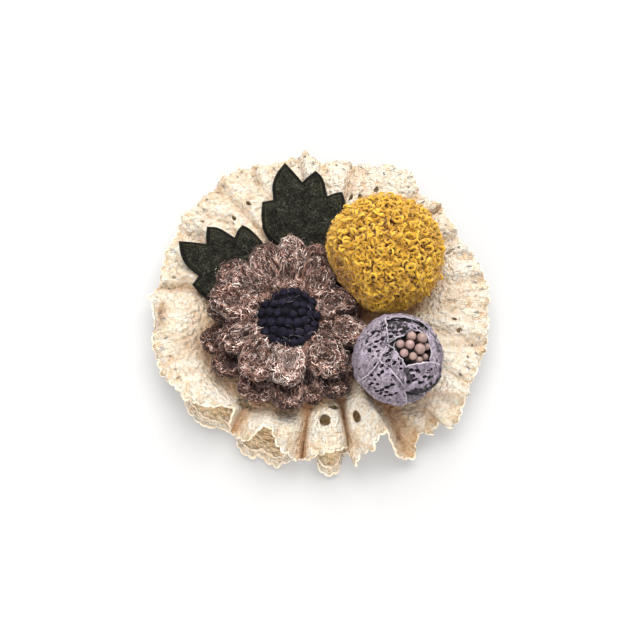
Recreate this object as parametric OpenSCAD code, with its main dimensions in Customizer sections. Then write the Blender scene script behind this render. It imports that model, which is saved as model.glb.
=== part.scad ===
// Fabric flower brooch: a gathered lace rosette that carries two felt leaves, a yarn flower,
// a looped pompom and a lace-wrapped bud with a cluster of bead-headed stamens.
// It lies on its back, +Z up, with the origin under the middle of its box.

/* [Lace rosette] */
// Radius at which the lower tier's folds touch the surface
lower_radius = 48; // [44:0.5:58]
// Radius of the upper tier's rim, measured along the rosette's slope
upper_radius = 44.5; // [40:0.5:46]
// Radius of the flat middle that everything is sewn to
flat_radius = 29; // [24:1:34]
// Radius of the gathered hole in the middle of each tier
gather_radius = 4; // [3:0.5:7]
// Thickness of the lace
lace_wall = 1.2; // [1:0.1:1.8]
// Height of the lower tier's folds at the rim
lower_fold = 3; // [2:0.5:5]
// Height of the upper tier's folds at the rim
upper_fold = 9; // [4:0.5:11]
// Length of an eyelet, towards the rim
eyelet_length = 3.2; // [2:0.2:5]
// Distance from an eyelet to the rim
eyelet_inset = 5; // [3:0.5:8]
// Depth of the scallops along the rim
scallop = 0.9; // [0.4:0.1:1.6]

/* [Back] */
// Radius of the felt disc behind the lace
felt_radius = 23; // [18:1:28]
// Thickness of the felt disc
felt_thick = 1.5; // [1:0.1:2.5]
// Length of the pin's bar
pin_length = 30; // [20:1:36]
// Width of the pin's bar
bar_width = 5; // [4:0.5:7]
// Thickness of the pin's bar
bar_thick = 0.7; // [0.5:0.1:1.2]
// Diameter of the pin's stem
stem_diameter = 1; // [0.8:0.1:1.4]
// Free height between the stem and the bar, for the cloth it passes through
stem_space = 2; // [1.5:0.1:3]

/* [Leaves] */
// Length of a leaf from its hidden root to its longest tip
leaf_length = 31; // [26:0.5:34]
// Width of a leaf across its side lobes
leaf_width = 25; // [20:0.5:27]
// Thickness of the stitched felt
leaf_thick = 1.6; // [1:0.1:2.4]

/* [Yarn flower] */
// Place of the flower's middle, to the right of the rosette's middle
flower_x = -9; // [-12:0.5:-6]
// Place of the flower's middle, towards the back
flower_y = -9.5; // [-12:0.5:-7]
// Reach of the upper petals from the flower's middle
upper_reach = 21.5; // [18:0.5:23]
// Reach of the lower petals from the flower's middle
lower_reach = 26.5; // [24:0.5:28]
// Width of the widest petal
petal_width = 9.5; // [7:0.5:11]
// Thickness of a petal at its middle
petal_thick = 4.6; // [3.5:0.1:5.5]
// Radius of the knotted pad
pad_radius = 9; // [7:0.25:10]
// Height of the knotted pad's dome
pad_height = 4.2; // [3:0.2:6]
// Radius of one knot
knot_radius = 1.25; // [1:0.05:1.5]

/* [Pompom] */
// Place of the pompom's middle, to the right of the rosette's middle
pompom_x = 18.5; // [17:0.5:22]
// Place of the pompom's middle, towards the back
pompom_y = 9.5; // [8:0.5:13]
// Radius of the pompom out to the ends of its locks
pompom_radius = 17.5; // [14:0.5:18]
// Length that the locks stand out of the head
lock_length = 2.2; // [1.5:0.1:3.5]
// Radius of a lock at its root
lock_radius = 2.9; // [2.2:0.1:3.6]
// Height of the pompom's middle above the lace
pompom_rise = 11.2; // [9:0.2:13]
// Distance from the pompom's middle to the side that the flower presses flat
pompom_press = 13.8; // [12:0.2:17]

/* [Bud] */
// Place of the bud's middle, to the right of the rosette's middle
bud_x = 21.5; // [20:0.5:25]
// Place of the bud's middle, towards the back
bud_y = -23.5; // [-26:0.5:-22.5]
// Radius of the bud over its wraps
bud_radius = 13; // [11:0.25:13.5]
// Height of the bud's middle above the lace
bud_rise = 10.6; // [8:0.2:12]
// Thickness of a lace wrap
wrap_wall = 1; // [0.8:0.1:1.3]
// Radius of the opening at the bud's top
opening_radius = 5.9; // [5:0.1:6.5]
// Depth of the opening below the bud's top
opening_depth = 6; // [4:0.5:8]
// Radius of the largest stamen head
head_radius = 1.5; // [1:0.05:1.6]
// Radius of a stamen's thread
thread_radius = 0.4; // [0.3:0.05:0.5]
// Lean of the bud's axis away from upright
bud_lean = 22.5; // [10:0.5:30]

/* [Hidden] */
// Space between pieces that lie against each other
gap = 0.3;
// Direction that the bud leans to
bud_heading = -17;
// Distance inside the flat middle's edge at which the folds begin
fold_lead = 8;
// Length at the tips of the lower petals that reaches out over open folds
tip_overhang = 3;
// Stands for no limit on a petal's reach
no_limit = 1000;

// Crests of the upper tier: direction in degrees, lift as a share of upper_fold,
// reach as a share of upper_radius
UPPER_CRESTS = [
    [-163.5, 0.80, 0.97],
    [-138.5, 1.10, 0.90],
    [-110.0, 1.10, 0.93],
    [-87.0, 0.90, 0.94],
    [-71.5, 0.85, 0.93],
    [-59.0, 0.50, 1.04],
    [-47.5, 0.65, 0.97],
    [-37.0, 0.80, 1.01],
    [-20.0, 0.90, 0.98],
    [-1.0, 0.80, 0.95],
    [16.0, 0.85, 0.96],
    [31.5, 0.80, 0.95],
    [47.0, 0.90, 0.97],
    [62.0, 0.95, 1.00],
    [77.5, 0.80, 0.96],
    [93.5, 0.90, 0.96],
    [109.0, 0.80, 0.96],
    [124.0, 0.75, 0.98],
    [144.0, 0.85, 0.96],
    [161.0, 0.80, 0.96],
    [178.0, 0.75, 0.97]
];

// Crests of the lower tier, with the same columns for lower_fold and lower_radius
LOWER_CRESTS = [
    [-171, 0.8, 1.00],
    [-148, 1.0, 1.01],
    [-124, 0.9, 1.00],
    [-101, 1.0, 1.00],
    [-80, 0.9, 1.03],
    [-56, 0.8, 0.99],
    [-30, 1.0, 1.01],
    [-6, 0.8, 1.00],
    [18, 0.9, 1.00],
    [42, 1.0, 1.01],
    [66, 0.9, 1.00],
    [88, 0.8, 1.01],
    [112, 1.0, 1.00],
    [136, 0.9, 1.00],
    [161, 1.0, 1.01]
];

// Outline of a leaf: across as a share of leaf_width, along as a share of leaf_length.
// Its blunt root is hidden under the petals.
LEAF_OUTLINE = [
    [-0.25, 0.10],
    [-0.42, 0.19],
    [-0.52, 0.32],
    [-0.54, 0.46],
    [-0.53, 0.60],
    [-0.40, 0.62],
    [-0.41, 0.77],
    [-0.36, 0.89],
    [-0.26, 1.00],
    [-0.16, 0.91],
    [-0.05, 0.80],
    [0.02, 0.86],
    [0.11, 0.92],
    [0.20, 0.83],
    [0.25, 0.66],
    [0.34, 0.69],
    [0.43, 0.70],
    [0.46, 0.60],
    [0.44, 0.42],
    [0.34, 0.25],
    [0.20, 0.10]
];

// Petals of the upper layer: direction in degrees, reach as a share of upper_reach,
// width as a share of petal_width
UPPER_PETALS = [
    [-160, 0.95, 0.85],
    [-123, 0.96, 1.00],
    [-91, 0.90, 0.95],
    [-49, 1.00, 1.00],
    [-12, 1.02, 0.85],
    [22, 0.98, 0.90],
    [60, 1.02, 1.00],
    [91, 1.00, 0.85],
    [114, 1.00, 0.80],
    [138, 0.98, 0.80],
    [165, 1.05, 0.95]
];

// Petals of the lower layer, with the same columns for lower_reach
LOWER_PETALS = [
    [-167, 0.94, 0.85],
    [-146, 0.93, 0.85],
    [-116, 0.95, 0.95],
    [-90, 1.00, 0.85],
    [-72, 0.90, 0.80],
    [-55, 1.00, 0.85],
    [-32, 0.98, 0.80],
    [12, 1.00, 0.85],
    [43, 1.00, 0.90],
    [69, 1.00, 0.85],
    [88, 1.03, 0.85],
    [108, 0.97, 0.95],
    [137, 0.97, 1.00],
    [166, 0.88, 0.80]
];

// Sections of a petal: place between root and tip, share of its width, share of its thickness
PETAL_SECTIONS = [
    [0.00, 0.36, 0.42],
    [0.22, 0.70, 0.72],
    [0.46, 0.97, 1.00],
    [0.70, 1.00, 1.00],
    [0.88, 0.76, 0.82],
    [1.00, 0.34, 0.46]
];

// Stamens: across and up from the bud's axis as shares of opening_radius, head as a share
// of head_radius, height of the head as a share of opening_depth
STAMENS = [
    [-0.72, -0.06, 0.80, 0.55],
    [-0.34, 0.04, 0.86, 0.72],
    [-0.34, 0.50, 0.88, 0.62],
    [0.16, 0.62, 1.00, 0.68],
    [0.18, 0.04, 1.00, 0.74],
    [-0.46, -0.44, 0.78, 0.66],
    [-0.02, -0.42, 0.74, 0.70],
    [0.36, -0.42, 0.70, 0.58],
    [0.58, 0.42, 0.70, 0.46],
    [0.64, -0.10, 0.70, 0.44]
];

// Places of the upper tier's inner rings between the gathered hole and the eyelets, and of
// all the lower tier's rings between the hole and the rim
UPPER_RINGS = [0, 0.36, 0.64, 0.84, 1];
LOWER_RINGS = [0, 0.42, 0.6, 0.76, 0.9, 1];

// Part of a leaf's plan that counts, as shares of leaf_width and leaf_length: half width,
// place where the open folds begin below it, and place past its tip
leaf_half = 0.61;
leaf_free = 0.3;
leaf_past = 1.1;
// Place along a leaf at which the petals begin to lie on it
leaf_root = 0.08;

// How far past its own sections a petal looks for what lies below, in the lower and the
// upper layer: along as a share of its length, across as a share of its width
PETAL_LOOK = [[0.125, 1], [0.1875, 1.25]];
// Depth of a petal's cup, and height of its rim, as shares of its thickness
petal_dish = 0.55;
petal_crown = 0.78;
// Widest half angle that a petal may spread over
petal_spread = 40;

// Heights, from the surface up to what is sewn on the flat lace
stem_z = gap + stem_diameter / 2;
bar_z = gap + stem_diameter + stem_space;
felt_z = bar_z + bar_thick + gap;
lace_seat = felt_z + felt_thick + gap;
seat_z = lace_seat + 2 * (lace_wall + gap);

// Where the folds begin, and how fast the rosette drops from its flat middle
fold_start = flat_radius - fold_lead;
drop_power = 1.3;
// Distance over which the folds come up beside what is sewn on the lace
fold_blend = 8;
// How square the folds are, and how much wider a crest is than a valley
fold_square = 0.5;
fold_wide = 0.5;
// Places of the columns of points between one crest and the next
COLUMNS = [0, 0.13, 0.30, 0.5, 0.70, 0.87];
// Columns whose cell holds an eyelet
EYELET_COLUMNS = [0, 4];

// The petals begin under the pad
petal_root = pad_radius * 0.68;
pompom_foot = sqrt(pompom_radius * pompom_radius - pompom_rise * pompom_rise);
bud_foot = sqrt(bud_radius * bud_radius - bud_rise * bud_rise);
wrap_step = wrap_wall + 1.5 * gap;
core_radius = bud_radius - wrap_step - wrap_wall - 2 * gap;
lock_count = 56;
wrap_count = 6;
petal_sides = 8;

function lerp(a, b, k) = a + (b - a) * k;
function ease(k) = let(c = min(1, max(0, k))) c * c * (3 - 2 * c);
function plan(a) = [cos(a), sin(a)];
function cross_unit(a, b) = let(c = cross(a, b)) c / norm(c);

// The rosette's slope: a flat middle that curves down to the surface at lower_radius
function slope_run(r) = max(0, (r - flat_radius) / (lower_radius - flat_radius));
function slope_z(r) = lace_seat * (1 - pow(slope_run(r), drop_power));
function slope_tilt(r) = atan(
    lace_seat * drop_power * pow(slope_run(r), drop_power - 1) / (lower_radius - flat_radius)
);
// Point at direction a, at distance r along the slope and height h square to it
function on_slope(r, a, h) = let(tilt = slope_tilt(r), q = r + h * sin(tilt))
    [q * cos(a), q * sin(a), slope_z(r) + h * cos(tilt)];

// Folds grow from fold_start to the rim, and lie flat beneath what is sewn on the lace
function swell(r) = ease((r - fold_start) / (lower_radius - fold_start));
FOOTPRINTS = [
    [flower_x, flower_y, lower_reach - tip_overhang],
    [pompom_x, pompom_y, pompom_foot],
    [bud_x, bud_y, bud_foot]
];
function open_share(p) = min([for (f = FOOTPRINTS) ease((norm(p - [f[0], f[1]]) - f[2]) / fold_blend)]);

// Fold law between crest i and the next one, k from 0 to 1
function crest_angle(folds, i) = folds[i % len(folds)][0] + 360 * floor(i / len(folds));
function fold_angle(folds, i, k) = lerp(
    crest_angle(folds, i),
    crest_angle(folds, i + 1),
    k + (fold_square * sin(720 * k) / 2 + fold_wide * sin(360 * k)) / (2 * PI)
);
function crest_share(k) = (1 + cos(360 * k)) / 2;
function fold_value(folds, i, k, column) = lerp(
    folds[i % len(folds)][column],
    folds[(i + 1) % len(folds)][column],
    ease(k)
);

// Rings of points from the gathered hole to the rim. The upper tier's last band but one
// holds the eyelets.
function upper_rings(rim) = let(inner = rim - eyelet_inset - eyelet_length)
    concat([for (k = UPPER_RINGS) lerp(gather_radius, inner, k)], [rim - eyelet_inset, rim]);
function lower_rings(rim) = [for (k = LOWER_RINGS) lerp(gather_radius, rim, k)];

// Middle surface of a tier, as rows of points; is_upper is 1 for the upper tier, which lies
// over the lower one and is pressed flat beneath what is sewn on it
function tier_rows(folds, radius, lift, is_upper) =
    let(
        steps = [for (i = [0:len(folds) - 1]) for (k = COLUMNS) [i, k]],
        rim = [for (s = [0:len(steps) - 1]) let(i = steps[s][0], k = steps[s][1])
            radius * lerp(1, fold_value(folds, i, k, 2), crest_share(k)) - (s % 2) * scallop]
    )
    let(rings = [for (reach = rim) is_upper == 1 ? upper_rings(reach) : lower_rings(reach)])
    [for (ring = [0:len(rings[0]) - 1]) [for (s = [0:len(steps) - 1])
        let(
            i = steps[s][0],
            k = steps[s][1],
            r = rings[s][ring],
            a = fold_angle(folds, i, k),
            share = is_upper == 1 ? open_share(r * plan(a)) : 1,
            below = is_upper * (lace_wall + gap + lower_fold * swell(r)),
            fold = lift * fold_value(folds, i, k, 1) * crest_share(k) * swell(r) * share
        )
        on_slope(r, a, lace_wall / 2 + below + fold)]];

// Unit vectors square to a ring-shaped grid of points
function grid_square(rows) =
    let(n = len(rows), m = len(rows[0]))
    [for (i = [0:n - 1]) [for (j = [0:m - 1])
        cross_unit(rows[min(i + 1, n - 1)][j] - rows[max(i - 1, 0)][j],
            rows[i][(j + 1) % m] - rows[i][(j + m - 1) % m])]];
function moved(rows, square, d) = [for (i = [0:len(rows) - 1]) [for (j = [0:len(rows[0]) - 1])
    rows[i][j] + square[i][j] * d]];

LOWER_MIDDLE = tier_rows(LOWER_CRESTS, lower_radius, lower_fold, 0);
UPPER_MIDDLE = tier_rows(UPPER_CRESTS, upper_radius, upper_fold, 1);
LOWER_SQUARE = grid_square(LOWER_MIDDLE);
UPPER_SQUARE = grid_square(UPPER_MIDDLE);
UPPER_TOP = moved(UPPER_MIDDLE, UPPER_SQUARE, lace_wall / 2);

// Middle of the rosette's outline, which the origin lies under
function last(list) = list[len(list) - 1];
RIM_POINTS = concat(last(UPPER_TOP), last(moved(LOWER_MIDDLE, LOWER_SQUARE, lace_wall / 2)));
function mid_of(list) = (max(list) + min(list)) / 2;
centre_x = mid_of([for (p = RIM_POINTS) p[0]]);
centre_y = mid_of([for (p = RIM_POINTS) p[1]]);

// Highest level that the lace reaches at a place in plan
highest_crest = max([for (c = UPPER_CRESTS) c[1]]);
function lace_level(p) =
    let(
        r = norm(p),
        h = 2 * lace_wall + gap + (lower_fold + upper_fold * highest_crest * open_share(p)) * swell(r),
        inner = r - h * sin(slope_tilt(r))
    )
    slope_z(inner) + h * cos(slope_tilt(inner));

// Leaves: root in plan, heading of the long axis, and the rise that clears every fold below
LEAF_TOP = [-4, 12.5, 0];
LEAF_LEFT = [-15, 0.3, 46.5];
function leaf_place(leaf, p) = let(d = p - [leaf[0], leaf[1]], a = leaf[2])
    [d[0] * cos(a) + d[1] * sin(a), d[1] * cos(a) - d[0] * sin(a)];
function leaf_slope(leaf) = max([for (row = UPPER_TOP) for (p = row)
    let(q = leaf_place(leaf, [p[0], p[1]]))
    (abs(q[0]) < leaf_width * leaf_half && q[1] > leaf_length * leaf_free && q[1] < leaf_length * leaf_past)
        ? (p[2] + gap - seat_z) / q[1] : 0]);
LEAF_TOP_SLOPE = leaf_slope(LEAF_TOP);
LEAF_LEFT_SLOPE = leaf_slope(LEAF_LEFT);
function leaf_level(leaf, slope, p) = let(q = leaf_place(leaf, p))
    (abs(q[0]) < leaf_width * leaf_half && q[1] > leaf_length * leaf_root && q[1] < leaf_length)
        ? seat_z + q[1] * slope + leaf_thick * sqrt(1 + slope * slope) : 0;

// Highest level of whatever lies beneath the flower at a place in plan
function floor_level(p) = gap + max(
    lace_level(p),
    leaf_level(LEAF_TOP, LEAF_TOP_SLOPE, p),
    leaf_level(LEAF_LEFT, LEAF_LEFT_SLOPE, p)
);

FLOWER = [flower_x, flower_y];
// Lowest level that a round foot can stand on
function foot_level(p, r) = gap + max(
    [for (a = [0:45:315]) for (k = [0, 0.5, 1]) lace_level(p + k * r * plan(a))]
);
pompom_seat = foot_level([pompom_x, pompom_y], pompom_foot);
pompom_z = pompom_seat + pompom_rise;
bud_seat = foot_level([bud_x, bud_y], bud_foot);
bud_z = bud_seat + bud_rise;
BALLS = [
    [pompom_x, pompom_y, pompom_z, pompom_radius],
    [bud_x, bud_y, bud_z, bud_radius]
];
// Distance from p along the unit direction d to a ball's circle at height z
function ball_room(p, d, ball, z, spare) =
    let(
        across = sqrt(max(0, ball[3] * ball[3] - pow(min(0, z - ball[2]), 2))) + spare,
        to = [ball[0], ball[1]] - p,
        b = to * d,
        q = across * across - (to * to - b * b)
    )
    (q <= 0 || b <= 0) ? no_limit : max(0, b - sqrt(q));
// Distance from p along d to the pompom's pressed side
to_flower = (FLOWER - [pompom_x, pompom_y]) / norm(FLOWER - [pompom_x, pompom_y]);
function press_room(p, d, spare) =
    let(ahead = (p - [pompom_x, pompom_y]) * to_flower - pompom_press - spare, toward = -(d * to_flower))
    toward <= 0 ? (ahead > 0 ? no_limit : 0) : max(0, ahead / toward);
function room(p, d, z, spare) = min(
    max(ball_room(p, d, BALLS[0], z, spare), press_room(p, d, spare)),
    ball_room(p, d, BALLS[1], z, spare)
);

// The pad sits on the roots of the upper petals
function root_share(k) = lookup(k, [for (t = PETAL_SECTIONS) [t[0], t[2]]]);
pad_z = max([for (a = [0:30:330]) floor_level(FLOWER + pad_radius * plan(a))]) + petal_thick + 2 * gap
    + petal_thick * petal_crown * root_share((pad_radius - petal_root) / (upper_reach - petal_root));

// Petal k of a layer: its sections run outwards along its direction, each one held between
// its neighbours' sectors and short of the pompom and the bud
function turn(a) = a - 360 * floor((a + 180) / 360);
function petal_points(petals, k, reach, is_upper, z_top) =
    let(
        row = petals[k],
        d = plan(row[0]),
        side = [-d[1], d[0]],
        count = len(petals),
        room_left = turn(petals[(k + 1) % count][0] - row[0]) / 2,
        room_right = turn(row[0] - petals[(k + count - 1) % count][0]) / 2,
        far = min(reach * row[1], room(FLOWER, d, z_top, 2 * gap))
    )
    [for (s = PETAL_SECTIONS)
        let(
            at = lerp(petal_root, far, s[0]),
            p = FLOWER + at * d,
            half = petal_width * row[2] * s[1] / 2,
            left = min(half, at * tan(min(petal_spread, room_left)) - gap / 2, room(p, side, z_top, gap)),
            right = min(half, at * tan(min(petal_spread, room_right)) - gap / 2, room(p, -side, z_top, gap)),
            look = PETAL_LOOK[is_upper],
            near = look[0] * (far - petal_root),
            bottom = max([for (w = [-right, 0, left]) for (t = [-near, 0, near])
                floor_level(p + look[1] * w * side + t * d)]) + is_upper * (petal_thick + gap),
            thick = petal_thick * s[2]
        )
        [for (i = [0:petal_sides - 1])
            let(
                a = 360 * i / petal_sides,
                w = cos(a) > 0 ? left * cos(a) : right * cos(a),
                dish = a < 180 ? 1 - petal_dish * sin(a) * sin(a) : 1,
                q = p + w * side
            )
            [q[0], q[1], bottom + thick / 2 * (1 + sin(a) * dish)]]];

// Closed solid lofted through rings of points
module loft(rings) {
    n = len(rings[0]);
    end = len(rings) - 1;
    polyhedron(
        points = [for (ring = rings) for (p = ring) p],
        faces = concat(
            [[for (i = [0:n - 1]) i]],
            [[for (i = [n - 1:-1:0]) end * n + i]],
            [for (r = [0:end - 1]) for (i = [0:n - 1]) let(j = (i + 1) % n)
                [r * n + i, (r + 1) * n + i, (r + 1) * n + j]],
            [for (r = [0:end - 1]) for (i = [0:n - 1]) let(j = (i + 1) % n)
                [r * n + i, (r + 1) * n + j, r * n + j]]
        )
    );
}

// Closed wall between two grids of points; wraps round if ring is true, and leaves out
// the cells that holes lists as [row, column]
module sheet(outer, inner, ring, holes) {
    rows = len(outer);
    cols = len(outer[0]);
    size = rows * cols;
    last_col = ring ? cols : cols - 1;
    function is_cell(i, j) = i >= 0 && i < rows - 1 && (ring || (j >= 0 && j < last_col))
        && len([for (h = holes) if (h[0] == i && h[1] == (j + cols) % cols) h]) == 0;
    function at(i, j) = i * cols + j % cols;
    cells = [for (i = [0:rows - 2]) for (j = [0:last_col - 1]) if (is_cell(i, j)) [i, j]];
    walls = [for (c = cells) let(i = c[0], j = c[1]) each concat(
        is_cell(i - 1, j) ? [] : [[at(i, j), at(i, j + 1)]],
        is_cell(i, j + 1) ? [] : [[at(i, j + 1), at(i + 1, j + 1)]],
        is_cell(i + 1, j) ? [] : [[at(i + 1, j + 1), at(i + 1, j)]],
        is_cell(i, j - 1) ? [] : [[at(i + 1, j), at(i, j)]]
    )];
    polyhedron(
        points = concat([for (row = outer) each row], [for (row = inner) each row]),
        faces = concat(
            [for (c = cells) let(i = c[0], j = c[1]) each [
                [at(i, j), at(i, j + 1), at(i + 1, j + 1)],
                [at(i, j), at(i + 1, j + 1), at(i + 1, j)],
                [size + at(i, j), size + at(i + 1, j + 1), size + at(i, j + 1)],
                [size + at(i, j), size + at(i + 1, j), size + at(i + 1, j + 1)]
            ]],
            [for (w = walls) each [
                [w[1], w[0], size + w[0]],
                [w[1], size + w[0], size + w[1]]
            ]]
        )
    );
}

// Everything is placed from the rosette's own middle, then moved over the origin
module placed() {
    translate([-centre_x, -centre_y, 0]) children();
}

module lace_lower() {
    color("#EEDEC8") placed() sheet(
        moved(LOWER_MIDDLE, LOWER_SQUARE, lace_wall / 2),
        moved(LOWER_MIDDLE, LOWER_SQUARE, -lace_wall / 2),
        true,
        []
    );
}

module lace_upper() {
    eyelet_band = len(UPPER_MIDDLE) - 3;
    color("#F4E8D4") placed() sheet(
        UPPER_TOP,
        moved(UPPER_MIDDLE, UPPER_SQUARE, -lace_wall / 2),
        true,
        [for (i = [0:len(UPPER_CRESTS) - 1]) for (k = EYELET_COLUMNS) [eyelet_band, i * len(COLUMNS) + k]]
    );
}

module backing_felt() {
    color("#E8E0D2") placed() translate([0, 0, felt_z])
        cylinder(h = felt_thick, r = felt_radius, $fn = 96);
}

// Bar, two end posts and the straight stem between them, in one piece
module brooch_pin() {
    post = stem_diameter * 2;
    color("#C9C9CC") placed() union() {
        translate([-pin_length / 2, -bar_width / 2, bar_z])
            cube([pin_length, bar_width, bar_thick]);
        for (side = [-1, 1])
            translate([side * (pin_length - post) / 2 - post / 2, -post / 2, gap])
                cube([post, post, bar_z + bar_thick / 2 - gap]);
        translate([-pin_length / 2 + post / 2, 0, stem_z])
            rotate([0, 90, 0])
                cylinder(h = pin_length - post, d = stem_diameter, $fn = 32);
    }
}

module leaf(place, slope) {
    color("#35332B") placed() translate([place[0], place[1], seat_z])
        rotate([0, 0, place[2]])
            rotate([atan(slope), 0, 0])
                linear_extrude(leaf_thick)
                    polygon([for (p = LEAF_OUTLINE) [p[0] * leaf_width, p[1] * leaf_length]]);
}

module leaf_left() {
    leaf(LEAF_LEFT, LEAF_LEFT_SLOPE);
}

module leaf_top() {
    leaf(LEAF_TOP, LEAF_TOP_SLOPE);
}

module petal_lower(k) {
    color("#6F564C") placed()
        loft(petal_points(LOWER_PETALS, k - 1, lower_reach, 0, seat_z + petal_thick));
}

module petal_upper(k) {
    color("#80665C") placed()
        loft(petal_points(UPPER_PETALS, k - 1, upper_reach, 1, seat_z + 2 * petal_thick));
}

// A wound core that stands on the lace, with a dome of knots in rows on top
module flower_centre() {
    pitch = knot_radius * 2;
    row_pitch = pitch * 1.06;
    rows = floor(pad_radius / pitch);
    ball = pad_radius - knot_radius * 0.6;
    knot_top = pad_height - knot_radius * 0.5;
    knot_stretch = knot_radius * 0.25;
    flatness = 0.85;
    color("#27252F") placed() translate([flower_x, flower_y, 0]) {
        translate([0, 0, floor_level(FLOWER)])
            cylinder(h = pad_z - floor_level(FLOWER) + 1, r = petal_root - 2 * gap, $fn = 12);
        translate([0, 0, pad_z])
            scale([1, 1, pad_height / pad_radius]) intersection() {
                sphere(r = pad_radius, $fn = 12);
                translate([0, 0, pad_radius / 2])
                    cube([2 * pad_radius, 2 * pad_radius, pad_radius], center = true);
            }
        for (row = [-rows:rows])
            for (i = [-rows:rows])
                let(
                    x = (i + (abs(row) % 2) / 2) * row_pitch,
                    y = row * pitch,
                    q = norm([x, y]) / ball
                )
                if (q <= 1)
                    translate([x, y, pad_z + knot_top * sqrt(1 - q * q * flatness)])
                        hull() {
                            for (side = [-1, 1])
                                translate([side * knot_stretch, 0, 0])
                                    sphere(r = knot_radius, $fn = 4);
                        }
    }
}

// Locks spread evenly over a head, fused to it, and cut off flat where it is sewn down
module pompom() {
    head = pompom_radius - lock_length;
    // Turn that spreads the locks evenly, and share of the head's height that they cover
    golden_turn = 137.508;
    cover = 0.81;
    // Largest lean of a lock, and the steps that vary its lean and its twist
    lean = 14;
    lean_step = 71;
    twist_step = 40;
    lock_end = 0.1;
    taper = 0.5;
    color("#C4943D") placed() translate([pompom_x, pompom_y, pompom_z]) intersection() {
        union() {
            sphere(r = head, $fn = 12);
            for (k = [0:lock_count - 1])
                let(
                    level = 1 - 2 * cover * (k + 0.5) / lock_count,
                    around = k * golden_turn,
                    bend = lean * sin(k * lean_step)
                )
                rotate([0, acos(level), around])
                    translate([0, 0, head - lock_radius / 2])
                        rotate([bend, 0, k * twist_step])
                            hull() {
                                cylinder(h = lock_end, r = lock_radius, $fn = 4);
                                translate([0, 0, lock_length + lock_radius / 2 - 2 * lock_end])
                                    cylinder(h = lock_end, r = lock_radius * taper, $fn = 4);
                            }
        }
        translate([0, 0, pompom_radius - pompom_rise])
            cube(2 * pompom_radius, center = true);
        rotate([0, 0, atan2(to_flower[1], to_flower[0])])
            translate([pompom_press - pompom_radius, 0, 0])
                cube(2 * pompom_radius, center = true);
    }
}

// Turns to the bud's own frame, with its axis along z
module on_bud() {
    translate([bud_x, bud_y, bud_z])
        rotate([0, 0, bud_heading])
            rotate([0, bud_lean, 0])
                children();
}

module bud_core() {
    color("#7C727A") placed() difference() {
        translate([bud_x, bud_y, bud_z]) sphere(r = core_radius, $fn = 64);
        translate([bud_x - bud_radius, bud_y - bud_radius, bud_seat - bud_radius])
            cube([2 * bud_radius, 2 * bud_radius, bud_radius]);
        on_bud() translate([0, 0, bud_radius - opening_depth])
            cylinder(h = bud_radius, r = opening_radius, $fn = 48);
    }
}

// Lowest polar angle at which a wrap of radius r stays above the lace, at direction a
function wrap_foot(r, a) =
    let(
        along = cos(bud_lean),
        across = -sin(bud_lean) * cos(a),
        size = norm([along, across])
    )
    atan2(across, along) + acos(-min(1, (bud_rise - gap) / r / size));

// One lace strip of the pinwheel: its leading edge lies over the strip before it, and its
// trailing edge is tucked one layer down, under the strip after it
module bud_wrap(k) {
    steps = 7;
    levels = 5;
    // Share of a strip that lies under the next one
    lap = 0.26;
    reach = 360 / wrap_count / (1 - lap);
    first_start = 182;
    start = first_start + (k - 1) * 360 / wrap_count;
    // Polar angle of the strip's top at its leading edge, and how much lower it is at the other
    edge = asin((opening_radius + gap) / bud_radius);
    slant = 20;
    holes = [[1, 2], [1, 4], [3, 3], [3, 5]];
    function point(i, j, out) =
        let(
            u = j / steps,
            layer = wrap_step * ease((u - lap) / (1 - 2 * lap)),
            r = bud_radius - wrap_wall - layer + out,
            a = start + reach * u,
            top = edge + slant * u,
            foot = wrap_foot(bud_radius, a),
            polar = lerp(top, foot, i / levels)
        )
        [r * sin(polar) * cos(a), r * sin(polar) * sin(a), r * cos(polar)];
    color("#8A7E88") placed() on_bud() sheet(
        [for (i = [0:levels]) [for (j = [0:steps]) point(i, j, wrap_wall)]],
        [for (i = [0:levels]) [for (j = [0:steps]) point(i, j, 0)]],
        false,
        holes
    );
}

module stamen(k) {
    row = STAMENS[k - 1];
    r = head_radius * row[2];
    base = bud_radius - opening_depth + gap;
    top = base + opening_depth * row[3];
    color("#B4979A") placed() on_bud() translate([row[0], row[1], 0] * opening_radius) {
        translate([0, 0, top]) sphere(r = r, $fn = 32);
        translate([0, 0, base]) cylinder(h = top - base, r = thread_radius, $fn = 16);
    }
}

brooch_pin();
backing_felt();
lace_lower();
lace_upper();
leaf_left();
leaf_top();
for (k = [1:len(LOWER_PETALS)])
    petal_lower(k);
for (k = [1:len(UPPER_PETALS)])
    petal_upper(k);
flower_centre();
pompom();
bud_core();
for (k = [1:wrap_count])
    bud_wrap(k);
for (k = [1:len(STAMENS)])
    stamen(k);
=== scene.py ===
import math
import bpy
import numpy as np
from mathutils import Euler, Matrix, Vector
from mathutils.geometry import delaunay_2d_cdt


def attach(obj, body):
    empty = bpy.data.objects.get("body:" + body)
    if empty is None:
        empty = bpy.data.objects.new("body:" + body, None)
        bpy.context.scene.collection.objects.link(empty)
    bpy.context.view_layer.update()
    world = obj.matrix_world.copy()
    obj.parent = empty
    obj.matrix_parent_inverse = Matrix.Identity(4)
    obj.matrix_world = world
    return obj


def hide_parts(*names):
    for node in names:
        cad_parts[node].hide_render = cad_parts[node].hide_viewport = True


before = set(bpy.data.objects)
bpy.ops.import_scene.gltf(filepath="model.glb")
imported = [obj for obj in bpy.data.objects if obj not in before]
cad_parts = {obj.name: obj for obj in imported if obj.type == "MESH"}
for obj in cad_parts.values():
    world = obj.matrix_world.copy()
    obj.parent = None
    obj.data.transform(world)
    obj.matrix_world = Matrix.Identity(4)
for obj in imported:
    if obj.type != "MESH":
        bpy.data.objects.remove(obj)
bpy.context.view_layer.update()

# The camera first: the photo's view, 65 degrees above the surface.
camera_data = bpy.data.cameras.new("camera")
camera_data.lens = 85
camera_data.sensor_width = 36
camera_data.clip_start = 0.01
camera = bpy.data.objects.new("camera", camera_data)
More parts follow.
